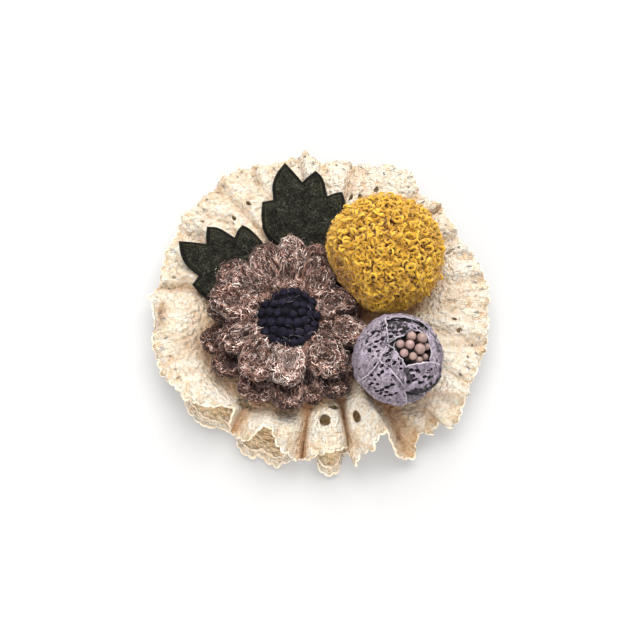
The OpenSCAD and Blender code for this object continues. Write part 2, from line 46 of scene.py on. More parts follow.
bpy.context.scene.collection.objects.link(camera)
camera.location = (-0.003427, -0.182434, 0.394763)
camera.rotation_euler = Euler((math.radians(25), 0, 0))
bpy.context.scene.camera = camera

# All shapes below are worked out in millimetres from the rosette's own middle, as in the CAD source,
# and moved over the origin and into metres when a mesh is made.
MM = 0.001
CENTRE = np.array([0.143714, -0.177951, 0.0])
# The lace: where its flat middle ends, how far its lower tier reaches, and the gathering's radius;
# the height of the middle, the curve of its fall to the rim and the lower tier's folds
FLAT, LOWER, GATHER = 29.0, 48.0, 4.0
SEAT, DROP, LOWER_FOLD = 6.1, 1.3, 3.0
WALL, GAP = 1.2, 0.3
# The leaves' height and size, the flower's middle and foot, and its pad
LEAF_SEAT, LEAF_SIZE = 9.1, np.array([25.0, 31.0])
FLOWER, FLOWER_FOOT = np.array([-9.0, -9.5]), 23.5
PAD_Z, PAD_RADIUS, PAD_HEIGHT = 16.73, 9.0, 4.2
# The pompom's and the bud's middles, radii and heights over the lace. The pompom is pressed on the
# flower's side, and the bud leans over and has an opening at its top.
POMPOM = np.array([18.5, 9.5, 21.0])
POMPOM_RADIUS, POMPOM_PRESS, POMPOM_RISE = 17.5, 13.8, 11.2
BUD = np.array([21.5, -23.5, 20.4])
BUD_RADIUS, BUD_RISE, BUD_LEAN, BUD_HEADING = 13.0, 10.6, 22.5, -17.0
OPENING, OPENING_DEPTH = 5.9, 6.0

# A tier's rim all the way round: direction, reach, lift above the lay of the tier,
# and 1 where the fold runs on in to the gathering or 0 where only the hem curls
UPPER_RIM = [
    (-182.2, 46.4, 3, 1), (-174.9, 45.4, 5, 0), (-168.4, 45.9, 5, 1), (-160.9, 46.6, 4, 1),
    (-154.9, 47.5, 3, 1), (-148.7, 46.1, 4, 1), (-143.3, 45.1, 6, 1), (-139.2, 45.1, 8, 0),
    (-136.1, 43.9, 8.5, 1), (-134.1, 43.4, 6.5, 0), (-130.7, 41.9, 8.5, 1), (-127.6, 40.1, 9, 1),
    (-125.1, 39.4, 8, 1), (-124.1, 41, 5, 0), (-123.6, 43.3, 2.5, 0), (-123.2, 45, -0.8, 1),
    (-120.1, 45.1, 1, 0), (-116.4, 45.1, 3.5, 1), (-114, 43.6, 5, 0), (-112.6, 41.4, 7, 0),
    (-110.8, 39.7, 9, 1), (-108.2, 39.9, 8.5, 0), (-106, 41.9, 7, 0), (-103.8, 43.5, 6.5, 1),
    (-100.8, 44.8, 5, 1), (-97.9, 46.1, 1.5, 0), (-96.4, 45.5, -1.2, 1), (-94.2, 45.5, 2.5, 1),
    (-91.3, 44.3, 5, 0), (-87.6, 43.8, 6.5, 1), (-84.3, 43.5, 6, 1), (-81.6, 43.1, 3.5, 0),
    (-80, 43.1, -1.2, 1), (-79.6, 45.6, 0.5, 0), (-79, 47.7, 2, 0), (-77.3, 45.6, 3.5, 1),
    (-75.7, 44.8, 5, 0), (-73.3, 44.5, 6, 1), (-70.9, 42.5, 7, 0), (-68.2, 41.4, 7.5, 1),
    (-66.6, 41.6, 7.5, 0), (-66.2, 44.8, 5, 0), (-65.8, 47.8, 3.5, 1), (-63.8, 50, 1, 0), (-61.4, 51, 0.5, 1),
    (-59.5, 50.4, 0.5, 0), (-57.6, 48.1, 0.5, 1), (-54.9, 46.1, 2, 0), (-54.2, 46.8, 4.5, 1),
    (-52.5, 48.1, 4.5, 0), (-49, 47.2, 2.5, 1), (-47.6, 47.2, 3, 0), (-47.2, 49.4, 4, 1), (-45.1, 50, 3.5, 0),
    (-42.1, 49.2, 3, 1), (-39.2, 48.3, 4.5, 1), (-36.5, 47, 5, 0), (-32.4, 46.5, 3, 1), (-29, 46.1, 4.5, 1),
    (-24.4, 45.9, 4.5, 1), (-18, 46.3, 2.5, 1), (-13.5, 45.3, 4.5, 1), (-6.2, 45.9, 3, 1), (0, 45.4, 4, 1),
    (7.4, 46.7, 2, 1), (12.1, 44.7, 4.5, 1), (18, 45.1, 3, 1), (21.6, 42.3, 5, 1), (27.3, 43.3, 2, 1),
    (30.5, 42.8, 5, 1), (36.6, 44.3, 3, 1), (41.2, 46.8, 0.5, 1), (42.3, 45, 4.5, 1), (45.7, 43.4, 4, 0),
    (50.5, 44.1, 1.5, 1), (53.1, 44.8, 4, 1), (56.4, 46.3, 5, 1), (61.6, 47.6, 3, 0), (65.3, 46, 5, 1),
    (69.3, 45.6, 3, 1), (73.9, 44.2, 4.5, 1), (77.3, 45.4, 1.5, 1), (80.4, 43.4, 4.5, 1), (85.2, 43.3, 3, 1),
    (89.1, 43.3, 2, 1), (92.5, 43.8, 4.5, 1), (95, 45, 5, 1), (97.9, 45.4, 3, 1), (103.3, 43.9, 4.5, 1),
    (109.1, 45.6, 2.5, 1), (113, 46.2, 4.5, 1), (115.9, 47.6, 3, 1), (119.9, 47.4, 5, 1), (125.6, 47.3, 5, 1),
    (129.2, 47.4, 2, 1), (135.1, 45.9, 4.5, 1), (140.5, 46, 3, 1), (146.3, 44.9, 5, 1), (151.1, 45.1, 2.5, 1),
    (158.4, 43.7, 4.5, 1), (163.6, 44.4, 3, 1), (169.5, 43.9, 4.5, 1), (172.6, 44, 4, 0), (174.2, 46, 0.5, 1)]
LOWER_RIM = [
    (-176, 45.5, 1, 1), (-166, 45.5, 2.5, 1), (-155, 45.5, 1, 1), (-144, 46.9, 2, 1), (-139.6, 48.2, 2, 0),
    (-135.6, 48.3, 2.5, 1), (-132.7, 47.9, 1.5, 0), (-129.5, 47, 2.5, 1), (-127.2, 45.7, 1.5, 0),
    (-123.9, 45.7, 0.6, 1), (-120.5, 46.3, 1, 0), (-118.5, 47.9, 1.5, 1), (-114.8, 48.8, 2, 0),
    (-112.8, 48.7, 1.5, 1), (-110.9, 47.6, 1, 0), (-108.5, 48, 1.5, 1), (-104.8, 48.5, 2, 0),
    (-101.8, 47, 1.5, 1), (-98.3, 46.1, 0.5, 0), (-93.9, 44.2, 0.2, 1), (-91.3, 45.4, 1, 0),
    (-90.5, 47.6, 2, 0), (-89.2, 49.2, 2.5, 1), (-87, 49.7, 3, 0), (-84.7, 49.1, 2.5, 1),
    (-83.4, 47.2, 1.5, 0), (-81.9, 45, 0.4, 1), (-77.4, 44.3, 0.4, 1), (-68.2, 42, 0.5, 1), (-58, 44, 0.5, 1),
    (-48, 44.5, 1.5, 1), (-38, 45.5, 0.6, 1), (-27, 44.5, 2, 1), (-16, 45, 0.8, 1), (-4, 44.5, 2.2, 1),
    (9, 45, 1, 1), (22, 42.5, 2.2, 1), (35, 43, 1, 1), (48, 43, 2.2, 1), (61, 45.5, 1, 1), (74, 43.5, 2.2, 1),
    (88, 42.5, 1, 1), (102, 43.5, 2.2, 1), (116, 46, 1, 1), (130, 46, 2.2, 1), (145, 44.5, 1, 1),
    (160, 43.5, 2.2, 1), (172, 44.5, 1, 1)]
# Cut holes in the upper tier: millimetres along its rim, distance out, half width and half length
EYELETS = [
    (110.5, 36.2, 1.7, 1.6), (115.4, 32.9, 1.4, 0.9), (134.4, 36.3, 1.6, 1.6), (363.4, 38, 0.8, 0.9),
    (366, 34.2, 0.8, 0.8), (355.3, 35.2, 0.8, 1.1), (303.6, 32.4, 0.9, 1.2), (299.6, 34, 0.8, 1),
    (294, 37, 0.9, 1.1), (214.4, 36.8, 0.9, 0.9), (210.3, 38.6, 0.9, 0.8), (375.4, 39.4, 0.8, 0.8),
    (60.5, 37.2, 0.7, 0.9), (245, 38.5, 0.8, 1), (262, 37.5, 0.8, 0.9)]
# Creases pressed into the upper tier: places (millimetres), width, depth and how dark their painted shade is
CREASES = [
    ([(-42.9, 2.9), (-34.4, 1.5)], 0.9, 0.5, 0.55), ([(-46, -1.6), (-45.7, -7.8)], 1.3, 2.2, 0.9),
    ([(-36.7, -12.2), (-32.8, -16.5), (-29, -21.2)], 3.2, 1.1, 0.45),
    ([(-38.5, -14.3), (-31.7, -12.6), (-29.5, -10.3)], 3.3, 0.5, 0.58),
    ([(-15.1, -28.9), (-19.1, -32.9), (-23.4, -37.7)], 1.1, 0.9, 0.5),
    ([(-2.4, -29.4), (-3.3, -36), (-4.9, -44.8)], 1, 0.7, 0.7),
    ([(6.8, -30), (6.9, -35.9), (7.3, -42.3)], 0.8, 0.7, 0.7),
    ([(-26.5, -19.8), (-21.5, -25.8), (-15.6, -29.6), (-8.7, -32.9), (-2.3, -31.1), (4.1, -30.4),
     (8.6, -28.2)], 3.2, 0, 0.5), ([(26.9, 29.3), (33.1, 29.6)], 1, 0.9, 0.55),
    ([(12.3, 43.4), (10.2, 36.6), (7.2, 30.2)], 0.9, 0.8, 0.4),
    ([(20.2, -34.9), (21.2, -38.4), (21.7, -41.8)], 2.2, 0.8, 0.5),
    ([(28.8, -30.2), (32.8, -29.1), (37.4, -30.3)], 0.8, 1, 0.45),
    ([(27.6, -36.5), (30.3, -32.7), (31.4, -29.5)], 0.8, 1, 0.45),
    ([(-5.6, 43.9), (-2.9, 30.3)], 1, 0.9, 0.25), ([(-18.4, 40.7), (-22.5, 30.1)], 1.2, 1, 0.3),
    ([(-33.6, 27.5), (-36, 17.7)], 1.4, 0.9, 0.3), ([(41.6, 18.4), (33.2, 14.2)], 1, 0.9, 0.35),
    ([(43.6, 2.7), (36.7, -1.1)], 0.9, 0.8, 0.35), ([(42.2, -13.5), (36, -15.6)], 1, 0.8, 0.35),
    ([(-41.6, -15), (-34.9, -17.1)], 1.2, 0.8, 0.25), ([(-38.4, -23), (-30.7, -22.2)], 1.2, 0.8, 0.25)]
# A leaf's outline as shares of its size; a third value of 1 marks a corner
LEAF_OUTLINE = [
    (-0.25, 0.1, 1), (-0.42, 0.19, 0), (-0.52, 0.32, 0), (-0.54, 0.46, 0), (-0.53, 0.6, 1), (-0.4, 0.62, 1),
    (-0.41, 0.77, 0), (-0.36, 0.89, 0), (-0.26, 1, 1), (-0.16, 0.91, 0), (-0.05, 0.8, 1), (0.02, 0.86, 0),
    (0.11, 0.92, 1), (0.2, 0.83, 0), (0.25, 0.66, 1), (0.34, 0.69, 0), (0.43, 0.7, 1), (0.46, 0.6, 0),
    (0.44, 0.42, 0), (0.34, 0.25, 0), (0.2, 0.1, 1)]
# A leaf's place, heading and slope
LEAVES = {"leaf_top": (-4.0, 12.5, 0.0, 0.18098), "leaf_left": (-15.0, 0.3, 46.5, 0.163757)}
# The petals' directions in degrees
UPPER_PETALS = [-160, -123, -91, -49, -12, 22, 60, 91, 114, 138, 165]
LOWER_PETALS = [-167, -146, -116, -90, -72, -55, -32, 12, 43, 69, 88, 108, 137, 166]
# A petal's section from its middle out over the rolled rim and back underneath: share out, share up
SECTION = np.array([
    (0, 0.6), (0.22, 0.6), (0.44, 0.68), (0.62, 0.86), (0.76, 0.99), (0.88, 0.98), (0.97, 0.82), (1.01, 0.58),
    (0.98, 0.32), (0.86, 0.12), (0.6, 0.02), (0.3, 0), (0, 0)])
# A petal's length and half width from its middle, and its thickness
TIP, HALF, THICK = 6.9, 6.0, 3.6
# Where the knots sit on the pad, from its middle
KNOTS = [
    (-3.8, 7.3), (-1.5, 7.9), (0.7, 8.2), (2.7, 7.8), (4.9, 6.6), (6.5, 5.1), (-6.9, 4.3), (-4.1, 3.6),
    (-1.8, 4.1), (0.4, 4.9), (2.1, 3), (4.2, 3.2), (6.2, 2.7), (-7.9, 1.4), (-5.4, 1), (-3.1, 0.6),
    (-0.9, 0.8), (1.4, 0), (3.9, 0.7), (6.2, 0.3), (8, 0.5), (-7.7, -1.7), (-5, -2.1), (-2.3, -2.2),
    (0, -2.7), (2.5, -2.5), (4.8, -1.7), (7.4, -2.4), (-6.8, -4.6), (-4.1, -4.7), (-1.8, -5.4), (0.5, -5.6),
    (3.1, -5.4), (5.4, -4.2), (6.9, -4.6), (-4.9, -6.6), (-3.3, -7.6), (-1, -8), (1.4, -8), (3.7, -7.4),
    (5.4, -6.2)]
# The bud's directions are degrees from its top and degrees round it. Each strip: node, one edge, the
# other edge, and how far it stands out at its four sides (first edge, other edge, start, end)
STRIPS = [
    (4, [(29, 58), (28, 95), (23, 122), (24, 156), (31, 172), (38, 189)], [(37, 56), (44, 90), (47, 120),
     (51, 142), (52, 165), (48, 190)], (-0.5, -0.5, -0.5, -0.5)),
    (4, [(42, 52), (49, 98), (53, 124), (60, 142), (66, 158)], [(110, 50), (110, 80), (110, 110),
     (110, 135), (110, 160)], (0.45, 0.3, 0.1, -0.3)),
    (3, [(25, -15), (22.5, 11), (24, 40), (30, 72)], [(110, -30), (110, 10), (110, 45),
     (110, 80)], (0, 0.2, -0.3, -0.1)),
    (3, [(64, -86), (70, -62), (72, -38), (71, -15), (66, 10)], [(115, -72), (112, -50), (110, -25),
     (110, 0), (110, 25)], (-0.7, 0.3, 0.2, 0)),
    (0, [(38, -168), (31, -159), (27, -136), (26.5, -112), (31, -94)], [(43, -172), (60, -146), (64, -120),
     (62, -98), (54, -80)], (0.1, -0.7, -0.6, -0.3)),
    (5, [(37, 190), (44, 165), (60, 145), (77, 129), (108, 120)], [(39, 196), (52, 221), (70, 229),
     (90, 230), (108, 228)], (0.7, 0.55, 0.4, 0.3)),
    (1, [(50, -141), (44.5, -110), (53.5, -82), (65, -74), (85, -64), (112, -58)], [(51.5, -140),
     (62, -134), (75, -130), (88, -130), (112, -133)], (0.75, 0.5, 0.5, 0.3)),
    (2, [(29, -100), (20, -66), (21, -36), (31, -11), (45, -3)], [(57, -79), (62, -58), (63, -40),
     (63, -20), (60, -2)], (0.45, 1, 0.7, 0.1))]
# Places on an edge from here on are moved to where the strips end, near the lace
LOW_EDGE = 90.5
# Nets of small holes on the strips: place, turn, holes across and along, and half size of a hole
NETS = [
    (55, -177, 35, 4, 4, 0.6, 0.36), (44, 152, 10, 4, 3, 0.7, 0.5), (42, -135, 60, 4, 3, 0.62, 0.36),
    (80, -123, 20, 3, 4, 0.5, 0.36), (75, -98, 55, 4, 3, 0.66, 0.42), (80, -77, 30, 3, 2, 0.5, 0.32),
    (37, -60, 20, 4, 3, 0.56, 0.36), (50, -45, 50, 3, 2, 0.5, 0.34), (74, -42, 10, 4, 2, 0.6, 0.3),
    (62, 95, 80, 2, 3, 0.6, 0.34), (42, 128, 30, 2, 2, 0.7, 0.45), (60, 40, 15, 3, 3, 0.55, 0.34),
    (76, 178, 40, 3, 3, 0.5, 0.34), (80, 5, 30, 3, 3, 0.55, 0.34), (86, 130, 20, 3, 3, 0.55, 0.34),
    (62, -155, 10, 2, 2, 0.4, 0.3)]
# Painted shade in the torn gaps between the strips: places, reach, darkness
GAPS = [
    ([(31, -93), (44, -80), (60, -73)], 1.05, 0.85), ([(60, -73), (62, -40), (58, -12), (52, 2)], 1.1, 0.92),
    ([(47, 125), (44, 95), (43, 60), (40, 25)], 0.8, 0.7), ([(60, 75), (56, 40), (52, 5)], 0.6, 0.6),
    ([(52, -139), (70, -129), (100, -132)], 0.6, 0.6), ([(38, -168), (43, 165), (60, 145)], 0.6, 0.5),
    ([(48, -108), (56, -82), (66, -74)], 0.6, 0.5)]
# Stamens in the opening: place and size of the head as shares, and how high it stands
STAMENS = [
    (-0.72, -0.06, 0.8, 0.55), (-0.34, 0.04, 0.86, 0.72), (-0.34, 0.5, 0.88, 0.62), (0.16, 0.62, 1, 0.68),
    (0.18, 0.04, 1, 0.74), (-0.46, -0.44, 0.78, 0.66), (-0.02, -0.42, 0.74, 0.7), (0.36, -0.42, 0.7, 0.58),
    (0.58, 0.42, 0.7, 0.46), (0.64, -0.1, 0.7, 0.44)]

rng = np.random.default_rng(11)


def unit(v):
    """The directions of vectors, one long each."""
    return v / np.maximum(np.linalg.norm(v, axis=-1, keepdims=True), 1e-9)


def ease(k):
    """0 up to k = 0 and 1 from k = 1 on, with a smooth way between."""
    c = np.clip(k, 0, 1)
    return c * c * (3 - 2 * c)


def linear(r, g, b):
    """A colour of 0 to 255 a channel, as linear light from 0 to 1."""
    c = np.array([r, g, b]) / 255
    return np.where(c <= 0.04045, c / 12.92, ((c + 0.055) / 1.055) ** 2.4)


def lattice(i, seed):
    h = np.sin(i @ np.array([127.1, 311.7, 74.7]) + seed * 17.13) * 43758.5453
    return (h - np.floor(h)) * 2 - 1


def noise(p, size, seed=0):
    """Smooth noise from -1 to 1 at points of any shape (..., 3), with features of that size."""
    q = np.asarray(p, float) / size
    i = np.floor(q)
    f = q - i
    f = f * f * (3 - 2 * f)
    total = 0
    for corner in np.ndindex(2, 2, 2):
        share = np.prod(np.where(corner, f, 1 - f), axis=-1)
        total = total + share * lattice(i + np.array(corner), seed)
    return total


def wobble(p, size, seed=0):
    """Noise in all three directions."""
    return np.stack([noise(p, size, seed + k) for k in range(3)], -1)


def extended(rows, value=0.0):
    """The rows with one more value at the end of each."""
    return np.concatenate([rows, np.broadcast_to(value, rows.shape[:-1])[..., None]], -1)


def toward(a, r=1.0):
    """Places on a plane in direction a, in radians, at distance r."""
    return np.stack([r * np.cos(a), r * np.sin(a)], -1)


def turned(p, about_z, about_y=0.0):
    """Points turned about y, then about z, in degrees."""
    a, b = math.radians(about_z), math.radians(about_y)
    ry = np.array([[math.cos(b), 0, math.sin(b)], [0, 1, 0], [-math.sin(b), 0, math.cos(b)]])
    rz = np.array([[math.cos(a), -math.sin(a), 0], [math.sin(a), math.cos(a), 0], [0, 0, 1]])
    return p @ (rz @ ry).T


def compass(count):
    """That many directions evenly round a circle, in radians."""
    return np.linspace(0, 2 * np.pi, count, endpoint=False)


# ---------------- meshes

def placed(name, data):
    made = bpy.data.objects.new(name, data)
    bpy.context.scene.collection.objects.link(made)
    return made


class Piece:
    """Gathers parts in millimetres and makes one object of them."""

    def __init__(self):
        self.points, self.faces, self.tones, self.uvs, self.slots, self.materials = [], [], [], [], [], []
        self.count = 0

    def add(self, points, faces, material, tone=(1.0, 1.0, 1.0), uv=None):
        points = np.asarray(points, float).reshape(-1, 3)
        self.points.append(points)
        self.tones.append(np.broadcast_to(np.asarray(tone, float), (len(points), 3)))
        self.uvs.append(np.zeros((len(points), 2)) if uv is None else np.asarray(uv, float).reshape(-1, 2))
        self.count += len(points)
        self.join(np.asarray(faces) + self.count - len(points), material)

    def join(self, faces, material):
        """Adds faces between points that the piece has."""
        if material not in self.materials:
            self.materials.append(material)
        self.faces.append(faces)
        self.slots.append(np.full(len(faces), self.materials.index(material)))

    def lay(self, strands, material):
        """Adds what tubes() or fibres() gives."""
        points, faces, tone = strands
        self.add(points, faces, material, tone)

    def make(self, name, slot, *nodes):
        points = (np.concatenate(self.points) - CENTRE) * MM
        corners = np.concatenate([f.ravel() for f in self.faces])
        sizes = np.concatenate([np.full(len(f), f.shape[1]) for f in self.faces])
        mesh = bpy.data.meshes.new(name)
        mesh.vertices.add(len(points))
        mesh.vertices.foreach_set("co", points.ravel())
        mesh.loops.add(len(corners))
        mesh.loops.foreach_set("vertex_index", corners.astype(np.int32))
        mesh.polygons.add(len(sizes))
        mesh.polygons.foreach_set("loop_start", (np.cumsum(sizes) - sizes).astype(np.int32))
        mesh.polygons.foreach_set("material_index", np.concatenate(self.slots).astype(np.int32))
        mesh.polygons.foreach_set("use_smooth", np.ones(len(sizes), bool))
        mesh.update(calc_edges=True)
        uv = mesh.uv_layers.new(name="cloth")
        uv.data.foreach_set("uv", np.concatenate(self.uvs)[corners].ravel())
        tone = mesh.color_attributes.new("tone", "FLOAT_COLOR", "POINT")
        tone.data.foreach_set("color", extended(np.concatenate(self.tones), 1.0).ravel())
        for material in self.materials:
            mesh.materials.append(material)
        mesh.validate()
        piece = placed(name, mesh)
        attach(piece, "root")
        if nodes:
            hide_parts(*nodes)
        return piece


def tubes(paths, radii, sides=6, closed=False, tone=(1.0, 1.0, 1.0)):
    """Round strands along many lines at once: paths (n, p, 3), radii (n, p) -> points, quads, tones."""
    paths = np.asarray(paths, float)
    n, p = paths.shape[:2]
    if closed:
        ahead = np.roll(paths, -1, 1) - np.roll(paths, 1, 1)
    else:
        ahead = np.gradient(paths, axis=1)
    ahead = unit(ahead)
    other = np.where(np.abs(ahead[:, 0, 2:3]) < 0.8, [[0.0, 0.0, 1.0]], [[1.0, 0.0, 0.0]])
    normal = unit(np.cross(ahead[:, 0], other))
    normals = [normal]
    for i in range(1, p):
        normal = unit(normal - (normal * ahead[:, i]).sum(-1, keepdims=True) * ahead[:, i])
        normals.append(normal)
    normals = np.stack(normals, 1)
    across = np.cross(ahead, normals)
    turn = 2 * np.pi * np.arange(sides)[:, None] / sides
    radii = np.broadcast_to(np.asarray(radii, float), (n, p))
    ring = paths[:, :, None] + radii[:, :, None, None] * (
        np.cos(turn) * normals[:, :, None] + np.sin(turn) * across[:, :, None])
    index = np.arange(n * p * sides).reshape(n, p, sides)
    a = index if closed else index[:, :-1]
    d = np.roll(index, -1, 1) if closed else index[:, 1:]
    quads = np.stack([a, np.roll(a, -1, 2), np.roll(d, -1, 2), d], -1)
    tones = np.broadcast_to(np.asarray(tone, float), (n, p, 3))
    return ring.reshape(-1, 3), quads.reshape(-1, 4), np.repeat(tones.reshape(-1, 3), sides, 0)


def fibres(paths, width, tone, face=None):
    """Flat hairs along many lines: paths (n, p, 3), a width and a tone (n, 3) each, turned to face a way."""
    n, p = paths.shape[:2]
    ahead = unit(np.gradient(paths, axis=1))
    turn = unit(rng.normal(size=(n, 1, 3)))
    across = unit(np.cross(ahead, turn if face is None else face + 0.6 * turn))
    taper = np.interp(np.linspace(0, 1, p), [0, 0.2, 0.8, 1], [0.3, 1, 1, 0.2])
    half = np.broadcast_to(np.asarray(width, float), (n,))[:, None, None] / 2 * taper[:, None]
    pair = np.stack([paths - across * half, paths + across * half], 2)
    index = np.arange(n * p * 2).reshape(n, p, 2)
    quads = np.stack([index[:, :-1, 0], index[:, :-1, 1], index[:, 1:, 1], index[:, 1:, 0]], -1)
    return pair.reshape(-1, 3), quads.reshape(-1, 4), np.repeat(tone, p * 2, 0)


def skin(rings, around):
    """Quads between the rings of a closed grid."""
    index = np.arange(rings * around).reshape(rings, around)
    ahead = np.roll(index, -1, 1)
    return np.stack([index[:-1], index[1:], ahead[1:], ahead[:-1]], -1).reshape(-1, 4)


def ball(rings, around):
    """Points and quads of a ball of radius 1."""
    a = np.linspace(0, np.pi, rings)[:, None]
    b = 2 * np.pi * np.arange(around) / around
    return extended(toward(b, np.sin(a)), np.cos(a)).reshape(-1, 3), skin(rings, around)


def solid_sheet(piece, p, thick, keep, wrap, material, uv, tone, fade=0.6):
    """Adds a closed wall round the grid of points p (rows, columns, 3) with the cells that keep leaves in.

    Its underside has the tone too, brought nearer to 1 by fade.
    """
    rows, cols = p.shape[:2]
    along = np.roll(p, -1, 1) - np.roll(p, 1, 1) if wrap else np.gradient(p, axis=1)
    square = unit(np.cross(np.gradient(p, axis=0), along))
    half = np.broadcast_to(thick, (rows, cols))[..., None] / 2
    points = np.concatenate([(p + square * half).reshape(-1, 3), (p - square * half).reshape(-1, 3)])
    size = rows * cols
    index = np.arange(size).reshape(rows, cols)
    nxt = np.roll(index, -1, 1) if wrap else index[:, 1:]
    now = index if wrap else index[:, :-1]
    a, b, c, d = now[:-1], nxt[:-1], nxt[1:], now[1:]
    top = np.stack([a, b, c, d], -1)[keep]
    framed = np.pad(keep, 1)
    if wrap:
        framed[1:-1, 0], framed[1:-1, -1] = keep[:, -1], keep[:, 0]
    walls = []
    for beside, first, second in ((framed[:-2, 1:-1], a, b), (framed[2:, 1:-1], c, d),
                                  (framed[1:-1, 2:], b, c), (framed[1:-1, :-2], d, a)):
        one, two = first[keep & ~beside], second[keep & ~beside]
        walls.append(np.stack([two, one, one + size, two + size], -1))
    tone = tone.reshape(-1, 3)
    piece.add(points, np.concatenate([top, top[:, ::-1] + size] + walls), material,
              np.concatenate([tone, fade + (1 - fade) * tone]), np.concatenate([uv.reshape(-1, 2)] * 2))


def pulled(q, flat, fade):
    """Share by which points are drawn onto a hole's edge, where q is 1: all up to flat from it, then less."""
    return (1 / np.maximum(q, 1e-6) - 1) * (1 - np.clip((np.abs(q - 1) - flat) / fade, 0, 1))


# ---------------- materials

class Finish:
    """A procedural material in the making."""

    def __init__(self, name):
        self.material = bpy.data.materials.new(name)
        self.material.use_nodes = True
        self.tree = self.material.node_tree
        self.place = self.node("TexCoord").outputs["Object"]

    def tone(self):
        return self.node("Attribute", attribute_name="tone").outputs["Color"]

    def put(self, made, inputs):
        for key, value in inputs.items():
            if isinstance(value, bpy.types.NodeSocket):
                self.tree.links.new(value, made.inputs[key])
            else:
                made.inputs[key].default_value = value

    def node(self, kind, inputs=None, **settings):
        made = self.tree.nodes.new("ShaderNode" + kind)
        for key, value in settings.items():
            setattr(made, key, value)
        self.put(made, inputs or {})
        return made

    def maths(self, operation, a, b):
        return self.node("Math", {0: a, 1: b}, operation=operation).outputs[0]

    def add(self, a, b):
        return self.maths("ADD", a, b)

    def times(self, a, b):
        return self.maths("MULTIPLY", a, b)

    def mixed(self, share, a, b, blend="MIX"):
        return self.node("Mix", {0: share, 6: a, 7: b}, data_type="RGBA", blend_type=blend).outputs[2]

    def dyed(self, a, b):
        return self.mixed(1.0, a, b, "MULTIPLY")

    def ramp(self, value, low, high, to_low=0.0, to_high=1.0):
        return self.node("MapRange", {0: value, 1: low, 2: high, 3: to_low, 4: to_high}).outputs[0]

    def cloud(self, scale, detail, roughness=0.5):
        return self.node("TexNoise", {"Vector": self.place, "Scale": scale, "Detail": detail,
                                      "Roughness": roughness}).outputs[0]

    def cells(self, scale):
        return self.node("TexVoronoi", {"Vector": self.place, "Scale": scale,
                                        "Randomness": 1.0}).outputs["Distance"]

    def done(self, base, bump=None, **values):
        """The material with its colour, its bump (height, distance, strength) and other shader values."""
        shade = self.tree.nodes["Principled BSDF"]
        self.put(shade, {"Base Color": base})
        self.put(shade, {key.replace("_", " "): value for key, value in values.items()})
        if bump:
            lift = self.node("Bump", dict(zip(("Height", "Distance", "Strength"), bump)))
            self.put(shade, {"Normal": lift.outputs[0]})
        return self.material


def rgba(colour):
    return (*colour, 1.0)


def fabric(name, colour, second, coat, grain=900.0, bump=0.00015, sheen=0.3, specular=0.25):
    """A fibrous finish: colour mottled towards second, darker by coat in its fine grain, times the tone."""
    made = Finish(name)
    fine, broad = made.cloud(grain, 4.0, 0.65), made.cloud(grain * 0.22, 2.0)
    base = made.mixed(made.ramp(broad, 0.35, 0.68), rgba(colour), rgba(second))
    base = made.mixed(made.ramp(fine, 0.42, 0.64), made.dyed(base, rgba(coat)), base)
    return made.done(made.dyed(base, made.tone()), (fine, bump, 0.8), Roughness=0.9, Sheen_Roughness=0.5,
                     Sheen_Weight=sheen, Specular_IOR_Level=specular)


def woven(name, colour, shadow, grain, bump, low, high, sheen, specks=0.0, through=0.0, crepe=0.0):
    """Crepe cotton: puckers, slubs and small pits at grain per millimetre, over faint uneven threads.

    Low and high are the heights with the shadow's and the full colour. Crepe is the share of its pillows,
    specks that of the darker spots, and through the light that passes through the cloth.
    """
    made = Finish(name)
    waves = {"Vector": made.node("TexCoord").outputs["UV"], "Scale": 0.52, "Distortion": 5.0, "Detail": 3.0,
             "Detail Scale": 1.4}
    threads = [made.node("TexWave", waves, wave_type="BANDS", bands_direction=way).outputs["Fac"]
               for way in ("X", "Y")]
    weave = made.times(made.add(*threads), 0.5)
    scale = 1000.0 * grain
    pucker, slub = made.cloud(0.72 * scale, 1.5), made.cloud(1.3 * scale, 5.0, 0.7)
    height = made.add(made.times(weave, 0.10), made.times(slub, 0.34))
    height = made.add(height, made.times(pucker, 0.56))
    height = made.times(height, made.ramp(made.cells(0.9 * scale), 0.05, 0.32, 0.78, 1.0))
    rise = height
    if crepe:
        pillow = made.ramp(made.cells(0.72 * scale), 0.0, 0.78, 1.0, 0.0)
        rise = made.add(height, made.times(pillow, crepe))
        height = made.add(height, made.times(made.maths("SUBTRACT", pillow, 0.42), 0.10))
    base = made.mixed(made.ramp(height, low, high), rgba(shadow), rgba(colour))
    if specks:
        spots = made.ramp(made.cells(0.42 * scale), 0.10, 0.24, specks, 0.0)
        spots = made.times(spots, made.ramp(made.cloud(0.13 * scale, 2.0), 0.46, 0.6))
        base = made.mixed(spots, base, made.dyed(rgba(shadow), (0.62, 0.5, 0.4, 1)))
    return made.done(made.dyed(base, made.tone()), (rise, bump, 1.0), Roughness=0.92, Specular_IOR_Level=0.2,
                     Sheen_Weight=sheen, Sheen_Roughness=0.5, Subsurface_Weight=through,
                     Subsurface_Radius=(1.0, 0.9, 0.75), Subsurface_Scale=0.0016)


def satin(name, colour, second, rough, scale, metallic=0.0, coat=0.0):
    """A smooth finish with a slight blotch, for the pin and the stamen heads."""
    made = Finish(name)
    blotch = made.cloud(scale, 3.0)
    base = made.mixed(made.ramp(blotch, 0.3, 0.7), rgba(colour), rgba(second))
    if not metallic:
        base = made.dyed(base, made.tone())
    return made.done(base, (blotch, 0.00005, 0.4), Metallic=metallic, Coat_Weight=coat, Coat_Roughness=0.3,
                     Roughness=made.ramp(blotch, 0.3, 0.7, rough * 0.8, rough * 1.2))


